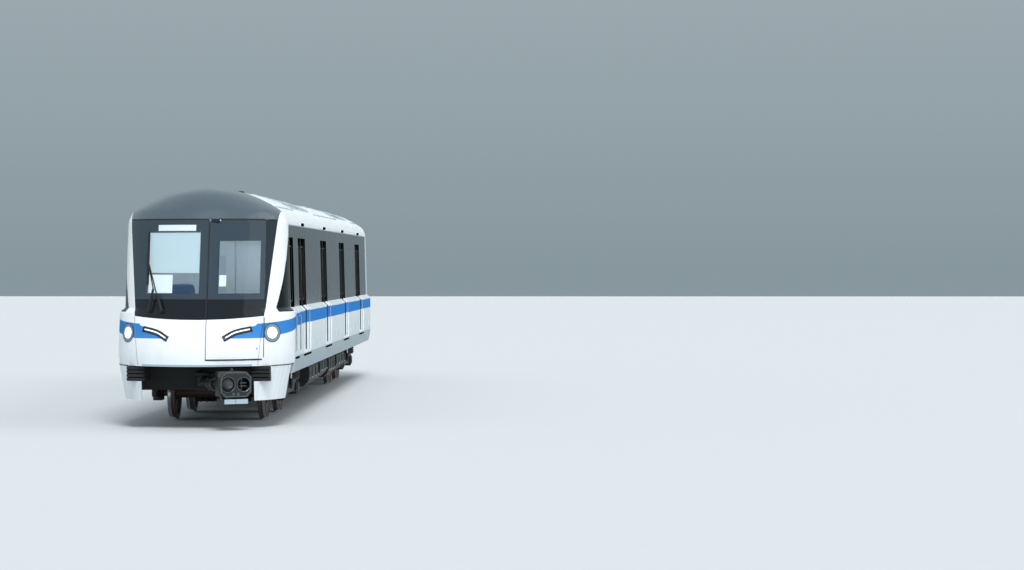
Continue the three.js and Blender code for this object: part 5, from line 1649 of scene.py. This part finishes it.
@dataclass
class RunningGear(Part):
    """Round wheelsets in place of the faceted ones, and the fittings of the bogies."""

    bogie_centres: tuple[float, float] = (4.2, 16.8)
    half_wheelbase: float = 1.1
    axle_height: float = 0.42
    box_middle: float = 1.015
    spring_x: float = 1.0

    # Half profile of a wheel and its axle, from the middle outwards. Columns: radius, distance along.
    wheel_profile: tuple[tuple[float, float], ...] = (
        (0.082, 0.0), (0.084, 0.30), (0.092, 0.62), (0.110, 0.66), (0.118, 0.690), (0.116, 0.712),
        (0.150, 0.722),
        (0.240, 0.734), (0.330, 0.728), (0.362, 0.712), (0.370, 0.692), (0.400, 0.684), (0.436, 0.686),
        (0.4475, 0.692), (0.4478, 0.700), (0.440, 0.708), (0.426, 0.716), (0.4205, 0.724), (0.4185, 0.770),
        (0.4165, 0.806), (0.412, 0.8145), (0.372, 0.8145), (0.362, 0.800), (0.330, 0.776), (0.240, 0.768),
        (0.140, 0.768), (0.118, 0.772), (0.112, 0.800), (0.090, 0.806), (0.080, 0.818), (0.066, 0.850),
        (0.0645, 1.0748),
    )

    def build(self) -> None:
        """Builds the fittings of both bogies."""
        for number, centre in enumerate(self.bogie_centres, start=1):
            for end, sign in (("front", -1), ("rear", 1)):
                self.add_wheelset(number, end, centre + sign * self.half_wheelbase)
            self.add_axle_boxes(number, centre)
            self.add_springs(number, centre)
            self.add_brakes(number, centre)

    def add_wheelset(self, number: int, end: str, y: float) -> None:
        """Turns a wheelset with dished wheels, polished treads and bolted wheel discs."""
        body = f"wheels_{number}_{end}"
        centre = place(0.0, y, self.axle_height)
        steel = Mould()
        mirrored = [(radius, -along) for radius, along in reversed(self.wheel_profile[1:])]
        steel.lathe([*mirrored, *self.wheel_profile], centre, LEFTWARD, 72)
        finish_piece(steel, f"wheelset_steel_{number}_{end}", self.finishes.wheel, body=body,
                     stands_for=(f"wheelset_{number}_{end}",), sharp_angle=40.0)
        treads, discs = Mould(), Mould()
        band = ((0.4190, 0.726), (0.4196, 0.730), (0.4186, 0.776), (0.4176, 0.800), (0.4170, 0.803),
                (0.4150, 0.800), (0.4150, 0.728))
        web = ((0.185, 0.7695), (0.185, 0.790), (0.315, 0.790), (0.315, 0.7755), (0.240, 0.7665))
        for side in SIDES.values():
            for mould, section in ((treads, band), (discs, web)):
                mould.hoop([(radius, side * along) for radius, along in section], centre, LEFTWARD)
            outward = LEFTWARD * side
            for foot in circle(centre + outward * 0.766, REARWARD, UP, 0.150, 12):
                discs.bar(foot, foot + outward * 0.018, 0.011, 6)
        finish_piece(treads, f"wheel_treads_{number}_{end}", self.finishes.tread, body=body)
        finish_piece(discs, f"brake_discs_{number}_{end}", self.finishes.casting, body=body)

    def add_axle_boxes(self, number: int, centre: float) -> None:
        """Adds each axle box's bolted cover, and its rubber springs on their seats."""
        body = f"bogie_{number}"
        covers, rubbers = Mould(), Mould()
        for side in SIDES.values():
            outward = LEFTWARD * side
            for sign in (-1, 1):
                y = centre + sign * self.half_wheelbase
                face = place(side * 1.0895, y, self.axle_height)
                covers.lathe([(0.0, 0.034), (0.072, 0.034), (0.080, 0.028), (0.084, 0.010), (0.112, 0.008),
                              (0.116, 0.004), (0.116, -0.004), (0.0, -0.004)][::-1], face, outward, 48)
                for bolt in range(8):
                    turn = math.tau * (bolt + 0.5) / 8
                    arm = Vector((0.0, math.cos(turn), math.sin(turn))) * 0.1
                    covers.bar(face + arm + outward * 0.006, face + arm + outward * 0.020, 0.010, 6)
                for way in (-1, 1):
                    foot = place(side * self.box_middle, y + way * 0.185, 0.350)
                    for layer in range(4):
                        start = foot + UP * (0.034 * layer)
                        rubbers.bar(start, start + UP * 0.024, 0.052 - 0.004 * layer, 20, 0.006)
                    covers.block(foot + Vector((-0.055, -0.060, -0.020)),
                                 foot + Vector((0.055, 0.060, 0.002)), 0.004)
                    covers.bar(foot, foot + UP * 0.145, 0.020, 16)
        finish_piece(covers, f"axle_box_covers_{number}", self.finishes.casting, body=body)
        finish_piece(rubbers, f"axle_box_springs_{number}", self.finishes.rubber, body=body)

    def add_springs(self, number: int, centre: float) -> None:
        """Adds the folds of the air springs and the dampers beside them."""
        body = f"bogie_{number}"
        folds, dampers, bright = Mould(), Mould(), Mould()
        for side in SIDES.values():
            foot = place(side * self.spring_x, centre, 0.640)
            for fold in range(3):
                folds.ring(foot + UP * (0.045 * fold), UP, 0.228, 0.034, 48, 8)
            low = place(side * 1.125, centre - 0.34, 0.470)
            high = place(side * 1.125, centre - 0.36, 0.760)
            along = (high - low).normalized()
            dampers.bar(low + along * 0.02, low + along * 0.15, 0.036, 24, 0.004)
            bright.bar(low + along * 0.15, high - along * 0.02, 0.018, 16)
            for end in (low, high - along * 0.02):
                dampers.ring(end, LEFTWARD, 0.026, 0.022, 20, 8)
                reach = LEFTWARD * (side * 0.055)
                dampers.bar(end - reach, end + reach * 0.5, 0.012, 12)
        finish_piece(folds, f"air_spring_folds_{number}", self.finishes.rubber, body=body)
        finish_piece(dampers, f"dampers_{number}", self.finishes.enamel, body=body)
        finish_piece(bright, f"damper_rods_{number}", self.finishes.stainless, body=body)

    def add_brakes(self, number: int, centre: float) -> None:
        """Adds the brake cylinders, the pipe along the frame and the motors' cooling ribs."""
        body = f"bogie_{number}"
        metal, pipes = Mould(), Mould()
        for side in SIDES.values():
            for sign in (-1, 1):
                cylinder = place(side * 0.86, centre + sign * 0.52, 0.455)
                metal.bar(cylinder, cylinder + REARWARD * (sign * 0.115), 0.060, 24, 0.006)
                arm = cylinder + Vector((0.0, sign * 0.110, -0.02))
                metal.block(arm + Vector((-0.035, -0.02, -0.06)), arm + Vector((0.035, 0.035, 0.05)), 0.006)
                metal.block(place(side * 0.86 - 0.045, centre + sign * 0.52 - 0.03, 0.50),
                            place(side * 0.86 + 0.045, centre + sign * 0.52 + 0.03, 0.585), 0.005)
            pipe = [place(side * 0.935, centre + y, z) for y, z in (
                (-1.25, 0.575), (-0.70, 0.612), (-0.30, 0.618), (0.30, 0.618), (0.70, 0.612), (1.25, 0.575))]
            pipes.sweep(pipe, 0.011, 8)
            for rib in range(9):
                x = -0.40 + rib * 0.1
                middle = place(x, centre + side * 0.47, 0.42)
                metal.bar(middle, middle + LEFTWARD * 0.02, 0.198, 40)
        finish_piece(metal, f"bogie_brakes_{number}", self.finishes.casting, body=body)
        finish_piece(pipes, f"bogie_pipes_{number}", self.finishes.stainless, body=body)


@dataclass
class Underfloor(Part):
    """Louvres, latches, bolts and pipes of what hangs below the floor."""

    # Columns: front and rear of each case, and its underside.
    cases: tuple[tuple[float, float, float], ...] = (
        (6.35, 8.30, 0.36), (8.60, 10.25, 0.40), (10.55, 12.15, 0.34), (12.45, 14.60, 0.38),
    )
    lid_x: float = 1.205
    lids: int = 3

    def build(self) -> None:
        """Builds the fittings."""
        self.add_case_fittings()
        self.add_pipes()
        self.add_drawbar_bolts()

    def add_case_fittings(self) -> None:
        """Adds louvres to the outer lids, and latches and a rim to each."""
        louvres, latches = Mould(), Mould()
        lids = [(side, front, (rear - front) / self.lids, bottom, lid) for front, rear, bottom in self.cases
                for side in SIDES.values() for lid in range(self.lids)]
        for side, front, pitch, bottom, lid in lids:
            outward = LEFTWARD * side
            middle, half = front + pitch * (lid + 0.5), pitch / 2 - 0.035
            slat_half = half - 0.06
            for slat in range(6 if lid != 1 else 0):
                foot = place(side * (self.lid_x + 0.002), middle, bottom + 0.165 + slat * 0.021)
                # Columns: distance out from the lid, height.
                section = [foot + Vector((side * (out - 0.004), -slat_half, up)) for out, up in (
                    (0.0, 0.0), (0.009, 0.002), (0.009, 0.006), (0.0, 0.015))]
                louvres.prism(section, REARWARD * (2 * slat_half))
            for way in (-1, 1):
                spot = place(side * self.lid_x, middle + way * (half - 0.05), bottom + 0.145)
                latches.bar(spot - outward * 0.004, spot + outward * 0.012, 0.017, 16, 0.003)
            rim = [place(side * self.lid_x, middle + y, z) for y, z in (
                (-half + 0.012, bottom + 0.132), (half - 0.012, bottom + 0.132),
                (half - 0.012, 0.698), (-half + 0.012, 0.698))]
            louvres.ribbon(rim, [outward] * 4, 0.008, 0.003, sink=0.003, closed=True)
        finish_piece(louvres, "case_louvres", self.finishes.enamel)
        finish_piece(latches, "case_latches", self.finishes.stainless)

    def add_pipes(self) -> None:
        """Adds the air pipes along the underframe."""
        pipes = Mould()
        for x, z in ((-0.62, 0.842), (-0.56, 0.842), (0.60, 0.845)):
            pipes.sweep([place(x, 5.9, z), place(x, 10.0, z), place(x, 15.1, z)], 0.018, 10)
        finish_piece(pipes, "air_pipes", self.finishes.stainless)

    def add_drawbar_bolts(self) -> None:
        """Adds the bolts of the drawbar's face."""
        bolts = Mould()
        for x in (-0.165, -0.055, 0.055, 0.165):
            for z in (0.585, 0.835):
                foot = place(x, 20.2255, z)
                bolts.bar(foot, foot - REARWARD * 0.020, 0.015, 6)
        finish_piece(bolts, "drawbar_bolts", self.finishes.stainless)


@dataclass
class RoofGear(Part):
    """Lids, fans and grille bars of the air-conditioning units, and the aerials and seams of the roof."""

    units: tuple[tuple[float, float], ...] = ((5.1, 8.6), (14.4, 17.9))
    proud: float = 0.015
    fan_radius: float = 0.30

    def build(self) -> None:
        """Builds the roof's fittings."""
        for number, (front, rear) in enumerate(self.units, start=1):
            self.add_fans(number, front, rear)
            self.add_grilles(number, front, rear)
            self.add_lids(number, front, rear)
        self.add_seams()
        self.add_aerials()

    def roof_height(self, x: float) -> float:
        """Gives the height of the roof's skin at a distance from the middle."""
        for low, high in zip(SECTIONS, SECTIONS[1:]):
            if low[0] >= MASK_TOP and high[1] <= abs(x) <= low[1]:
                share = (low[1] - abs(x)) / (low[1] - high[1])
                return low[0] + share * (high[0] - low[0])
        return SECTIONS[-1][0]

    def fall(self, x: float) -> float:
        """Gives how far the roof's skin falls from the middle to a place, as a negative height."""
        return self.roof_height(x) - self.roof_height(0.0)

    def outward(self, x: float) -> Vector:
        """Gives the roof's outward direction at a distance from the middle."""
        slope = (self.roof_height(x + 0.02) - self.roof_height(x - 0.02)) / 0.04
        return Vector((-slope, 0.0, 1.0)).normalized()

    def add_fans(self, number: int, front: float, rear: float) -> None:
        """Adds two condenser fans: ring, hub, blades and wire guard."""
        shroud, guard, blades = Mould(), Mould(), Mould()
        reach, wire_height = self.fan_radius, 0.008
        # Columns: distance from the fan's axis, height.
        profile = ((reach - 0.02, -0.004), (reach + 0.022, -0.004), (reach + 0.022, 0.002),
                   (reach + 0.010, 0.014), (reach - 0.008, 0.016), (reach - 0.02, 0.008))
        for share in (0.30, 0.70):
            centre = place(0.0, front + (rear - front) * share, self.roof_height(0.0) + self.proud)
            rings = []
            steps = 64
            for step in range(steps):
                turn = math.tau * step / steps
                arm = Vector((math.cos(turn), math.sin(turn), 0.0))
                drop = self.fall(reach * math.cos(turn))
                rings.append([centre + arm * radius + UP * (along + drop) for radius, along in profile])
            shroud.loft(rings, closed=True)
            for ring in range(1, 8):
                radius = reach * ring / 8
                path = []
                for step in range(48):
                    turn = math.tau * step / 48
                    x, y = radius * math.cos(turn), radius * math.sin(turn)
                    path.append(centre + Vector((x, y, wire_height + self.fall(x))))
                guard.sweep(path, 0.0025, 6, closed=True)
            for spoke in range(8):
                turn = math.tau * spoke / 8
                path = []
                for step in range(7):
                    radius = 0.04 + (reach - 0.05) * step / 6
                    x, y = radius * math.cos(turn), radius * math.sin(turn)
                    path.append(centre + Vector((x, y, wire_height + self.fall(x))))
                guard.sweep(path, 0.003, 6)
            guard.bar(centre - UP * 0.002, centre + UP * 0.011, 0.045, 24, 0.003)
            for blade in range(7):
                turn = math.tau * blade / 7
                along = Vector((math.cos(turn), math.sin(turn), 0.0))
                side = Vector((-along.y, along.x, 0.0))
                root = centre - UP * 0.0055
                # Columns: distance from the fan's axis, distance to the side of the blade's middle.
                outline = [root + along * out + side * aside for out, aside in (
                    (0.06, -0.02), (0.26, -0.075), (0.275, 0.045), (0.07, 0.03))]
                blades.prism([point + UP * self.fall((point - centre).x) for point in outline], UP * 0.009)
        finish_piece(shroud, f"fan_rings_{number}", self.finishes.anodised)
        finish_piece(guard, f"fan_guards_{number}", self.finishes.stainless)
        finish_piece(blades, f"fan_blades_{number}", self.finishes.rubber)

    def add_grilles(self, number: int, front: float, rear: float) -> None:
        """Adds the slats in the sunk grilles of both flanks."""
        slats = Mould()
        grilles, count = 5, 14
        pitch = (rear - front - 0.2) / grilles
        half = pitch / 2 - 0.041
        # Columns: distance out from the slat's lowest corner, height above it.
        section = ((0.0, 0.0), (-0.150, 0.080), (-0.150, 0.104), (0.002, 0.030))
        for side in SIDES.values():
            for index in range(grilles):
                middle = front + 0.1 + pitch * (index + 0.5)
                for slat in range(count):
                    y = middle - half + (slat + 0.5) * 2 * half / count
                    low = place(side * 0.958, y - 0.004, 3.532)
                    corners = [low + Vector((side * out, 0.0, up)) for out, up in section]
                    slats.prism(corners, REARWARD * 0.012)
        finish_piece(slats, f"grille_slats_{number}", self.finishes.anodised)

    def add_lids(self, number: int, front: float, rear: float) -> None:
        """Adds the joints and quarter-turn locks of the unit's lids."""
        joints, locks = Mould(), Mould()
        for share in (0.0, 0.5, 1.0):
            y = front + 0.012 + (rear - front - 0.024) * share
            path, normals = self.across(y, 0.96, self.proud)
            joints.ribbon(path, normals, 0.010, 0.002, sink=0.004)
        for share in (0.04, 0.46, 0.54, 0.96):
            for x in (-0.60, -0.30, 0.30, 0.60):
                foot = place(x, front + (rear - front) * share, self.roof_height(x) + self.proud)
                locks.bar(foot - UP * 0.004, foot + UP * 0.006, 0.020, 16, 0.002)
        finish_piece(joints, f"unit_joints_{number}", self.finishes.rubber)
        finish_piece(locks, f"unit_locks_{number}", self.finishes.stainless)

    def across(self, y: float, reach: float, proud: float) -> tuple[list[Vector], list[Vector]]:
        """Gives points across the roof and the roof's outward direction at each.

        Args:
            y: Distance behind the foremost point of the nose.
            reach: Farthest distance from the middle.
            proud: Height above the roof's skin.

        Returns:
            The points and the directions.
        """
        path, normals = [], []
        steps = 24
        for step in range(steps + 1):
            x = -reach + 2 * reach * step / steps
            path.append(place(x, y, self.roof_height(x) + proud))
            normals.append(self.outward(x))
        return path, normals

    def add_seams(self) -> None:
        """Adds the seams between the roof's sheets, and two ribs lengthways."""
        seams = Mould()
        for y in (1.752, 4.3, 9.6, 11.5, 13.4, 18.6):
            path, normals = self.across(y, 1.20, 0.0)
            seams.ribbon(path, normals, 0.012, 0.002, sink=0.004)
        finish_piece(seams, "roof_seams", self.finishes.seam)
        ribs = Mould()
        for x in (-1.06, 1.06):
            for y0, y1 in ((1.9, 4.9), (8.8, 14.2), (18.1, 19.9)):
                path = [place(x, y, self.roof_height(x)) for y in (y0, (y0 + y1) / 2, y1)]
                ribs.ribbon(path, [self.outward(x)] * 3, 0.022, 0.012, sink=0.004)
        finish_piece(ribs, "roof_rain_ribs", self.finishes.pale_trim)

    def add_aerials(self) -> None:
        """Adds the two low aerials on the roof."""
        aerial = Mould()
        for x, y in ((0.0, 3.0), (0.30, 3.55)):
            foot = place(x, y, self.roof_height(x))
            aerial.lathe([(0.0, -0.006), (0.070, -0.006), (0.070, 0.004), (0.062, 0.014), (0.030, 0.022),
                          (0.010, 0.024), (0.0, 0.024)], foot, UP, 36)
        finish_piece(aerial, "roof_aerials", self.finishes.rubber)


@dataclass
class CouplerDetail(Part):
    """Rims, hooks, hoses and cover of the front coupler, drawn pointing ahead and swung with it."""

    pivot: tuple[float, float, float] = (0.0, 0.9, 0.70)
    swing: float = 31.5
    face: float = -1.28
    half: float = 0.275
    rise: float = 0.195
    corner: float = 0.08
    cone_x: float = -0.135
    socket_x: float = 0.135

    def build(self) -> None:
        """Builds the coupler's detail."""
        self.add_rims()
        self.add_hook()
        self.add_cover()
        self.add_hoses()

    def at(self, x: float, y: float, z: float) -> Vector:
        """Turns a place on the coupler's own drawing into the frame."""
        turn = math.radians(self.swing)
        cosine, sine = math.cos(turn), math.sin(turn)
        px, py, pz = self.pivot
        return place(px + x * cosine - y * sine, py + x * sine + y * cosine, pz + z)

    def ahead(self) -> Vector:
        """Gives the direction in which the coupler points."""
        turn = math.radians(self.swing)
        return Vector((math.sin(turn), -math.cos(turn), 0.0))

    def add_rims(self) -> None:
        """Adds the worn steel rims round the face, the dish and the socket, their light grey also a painted
        highlight on the head's edges.
        """
        rims = Mould()
        inset = 0.020
        wide, tall = self.half - 0.030, self.rise - 0.012
        cut = self.corner - 0.01
        corners = ((wide, tall - cut), (wide - cut, tall), (-wide + cut, tall), (-wide, tall - cut),
                   (-wide, -tall + cut), (-wide + cut, -tall), (wide - cut, -tall), (wide, -tall + cut))
        path = [self.at(x, self.face, z) for x, z in corners]
        rims.ribbon(path, [self.ahead()] * len(path), inset, 0.005, closed=True)
        for x, radius in ((self.cone_x, 0.121), (self.socket_x, 0.111)):
            rims.ring(self.at(x, self.face - 0.001, 0.0), self.ahead(), radius, 0.014, 48, 8)
        rims.ring(self.at(self.cone_x, self.face - 0.059, 0.0), self.ahead(), 0.040, 0.012, 32, 8)
        finish_piece(rims, "coupler_rims_worn_and_highlight", self.finishes.worn, body="coupler")
        cone = Mould()
        start = self.at(self.cone_x, self.face + 0.024, 0.0)
        profile = [(0.0, 0.0), (0.094, 0.0), (0.090, 0.012), (0.068, 0.060), (0.062, 0.078), (0.054, 0.0865),
                   (0.0, 0.0865)]
        cone.lathe(profile, start, self.ahead(), 40)
        finish_piece(cone, "coupler_cone", self.finishes.casting, body="coupler")

    def add_hook(self) -> None:
        """Adds the hook plate in the socket, the air valves below and the lifting eye on top."""
        hook = Mould()
        ahead = self.ahead()
        outline = ((0.06, -0.02), (0.10, 0.02), (0.185, 0.02), (0.215, -0.02), (0.185, -0.075),
                   (0.08, -0.075))
        for z in (-0.030, 0.018):
            corners = [self.at(self.socket_x + x - 0.14, self.face + 0.085 + y, z) for x, y in outline]
            hook.prism(corners, UP * 0.012)
        pin = [self.at(self.socket_x, self.face + 0.10, z) for z in (-0.09, 0.09)]
        hook.bar(*pin, 0.016, 20)
        for x in (-0.035, 0.035):
            centre = self.at(x * 1.1, self.face, -0.150)
            hook.ring(centre, ahead, 0.022, 0.010, 28, 8)
            hook.bar(centre - ahead * 0.01, centre + ahead * 0.012, 0.018, 24, 0.003)
        top = self.at(0.0, self.face + 0.16, self.rise + 0.018)
        hook.ring(top, ahead.cross(UP), 0.030, 0.016, 28, 8)
        for x in (-0.19, 0.19):
            for z in (-0.152, 0.152):
                bolt = self.at(x, self.face, z)
                hook.bar(bolt - ahead * 0.004, bolt + ahead * 0.009, 0.012, 6)
        finish_piece(hook, "coupler_hook", self.finishes.worn, body="coupler")

    def add_cover(self) -> None:
        """Adds the pale cover over the front of the electric head below the coupler."""
        cover = Mould()
        low, high = -0.298, -0.226
        for x0, x1 in ((-0.198, -0.012), (-0.004, 0.198)):
            near = [self.at(x, self.face - 0.008, z) for x, z in (
                (x0, low), (x1, low), (x1, high), (x0, high))]
            cover.prism(near, self.ahead() * 0.009)
        finish_piece(cover, "coupler_electric_cover", self.finishes.pale_trim, body="coupler")
        hinges = Mould()
        for x in (-0.15, 0.15):
            knuckle = [self.at(x + along, self.face - 0.012, high + 0.004) for along in (-0.03, 0.03)]
            hinges.bar(*knuckle, 0.007, 12)
        hinges.sweep([self.at(-0.20, self.face + 0.05, -0.24), self.at(-0.235, self.face + 0.05, -0.20),
                      self.at(-0.235, self.face + 0.09, -0.12)], 0.012, 10)
        finish_piece(hinges, "coupler_cover_hinges", self.finishes.worn, body="coupler")

    def add_hoses(self) -> None:
        """Adds the air hoses clipped along the shaft between the head and the collar."""
        hoses = Mould()
        for side in (-1, 1):
            route = [(0.20, -0.97, 0.06), (0.185, -0.90, 0.09), (0.155, -0.80, 0.075), (0.130, -0.70, 0.06),
                     (0.125, -0.60, 0.055), (0.128, -0.52, 0.055)]
            hoses.sweep([self.at(side * x, y, z) for x, y, z in route], 0.015, 12)
        finish_piece(hoses, "coupler_hoses", self.finishes.rubber, body="coupler")
        clips = Mould()
        for y, radius in ((-0.78, 0.092), (-0.60, 0.128), (-0.44, 0.128)):
            clips.ring(self.at(0.0, y, 0.0), self.ahead(), radius - 0.002, 0.014, 36, 8)
        finish_piece(clips, "coupler_clips", self.finishes.worn, body="coupler")


@dataclass
class EndTrim(Part):
    """Rear end of the car: beads and frame of the gangway, handrails, sockets and marker lamps."""

    def build(self) -> None:
        """Builds the rear end's fittings."""
        self.add_folds()
        self.add_rails()
        self.add_sockets()

    def loop(self, half: float, low: float, high: float, y: float, corner: float) -> list[Vector]:
        """Gives a round-cornered loop across the car at a distance behind the nose."""
        return [place(x, y, z) for x, z in rounded_outline((-half, half), (low, high), corner, 6)]

    def add_folds(self) -> None:
        """Adds the beads along the crests of the bellows, and its clamping frame."""
        beads = Mould()
        half = 0.835
        for y in (20.060, 20.139):
            beads.sweep(self.loop(half, 1.850 - half, 2.400 + half, y, 0.012), 0.011, 8, closed=True)
        finish_piece(beads, "gangway_beads", self.finishes.rubber)
        frame = Mould()
        loop = self.loop(0.745, 1.105, 3.145, 20.2553, 0.05)
        frame.ribbon(loop, [REARWARD] * len(loop), 0.085, 0.004, closed=True)
        finish_piece(frame, "gangway_frame", self.finishes.stainless)

    def add_rails(self) -> None:
        """Adds the handrails and the steps beside the gangway."""
        rails = Mould()
        for side in SIDES.values():
            for x, low, high in ((1.02, 1.25, 2.30), (1.24, 1.25, 1.75)):
                path = [(0.0, low), (0.040, low + 0.008), (0.050, low + 0.03), (0.050, high - 0.03),
                        (0.040, high - 0.008), (0.0, high)]
                rails.sweep([place(side * x, 19.998 + y, z) for y, z in path], 0.013, 12)
            for z in (0.90, 1.02):
                rails.sweep([place(side * x, y, z - drop) for x, y, drop in (
                    (0.98, 19.998, 0.0), (0.98, 20.055, 0.02), (1.16, 20.055, 0.02), (1.16, 19.998, 0.0))],
                            0.011, 12)
        finish_piece(rails, "rear_end_rails", self.finishes.stainless)

    def add_sockets(self) -> None:
        """Adds the cable sockets with their hinged caps, and the two rear marker lamps."""
        sockets, lamps = Mould(), Mould()
        for side in SIDES.values():
            for x, z in ((0.94, 1.16), (1.14, 1.16), (1.04, 1.02)):
                foot = place(side * x, 19.998, z)
                sockets.block(foot + Vector((-0.055, 0.0, -0.045)),
                              foot + Vector((0.055, 0.045, 0.045)), 0.008)
                sockets.bar(foot + REARWARD * 0.04, foot + REARWARD * 0.075, 0.036, 28, 0.004)
            spot = place(side * 1.12, 19.998, 2.62)
            sockets.ring(spot + REARWARD * 0.004, REARWARD, 0.062, 0.016, 36, 8)
            lamps.bar(spot, spot + REARWARD * 0.012, 0.058, 36, 0.005)
        finish_piece(sockets, "rear_end_sockets", self.finishes.enamel)
        finish_piece(lamps, "rear_end_lamps", self.finishes.lens)


PARTS = (NoseTrim, SideTrim, Saloon, Cab, RunningGear, Underfloor, RoofGear, CouplerDetail, EndTrim)


def main() -> None:
    """Loads the frame, dresses it and builds the pieces of each sub-assembly."""
    logging.basicConfig(level=logging.INFO, format="%(message)s")
    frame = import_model()
    finishes = Finishes()
    Studio().build()
    FrameDress(finishes).dress(frame["nodes"])
    for part in PARTS:
        part(finishes).build()


if __name__ == "__main__":
    main()
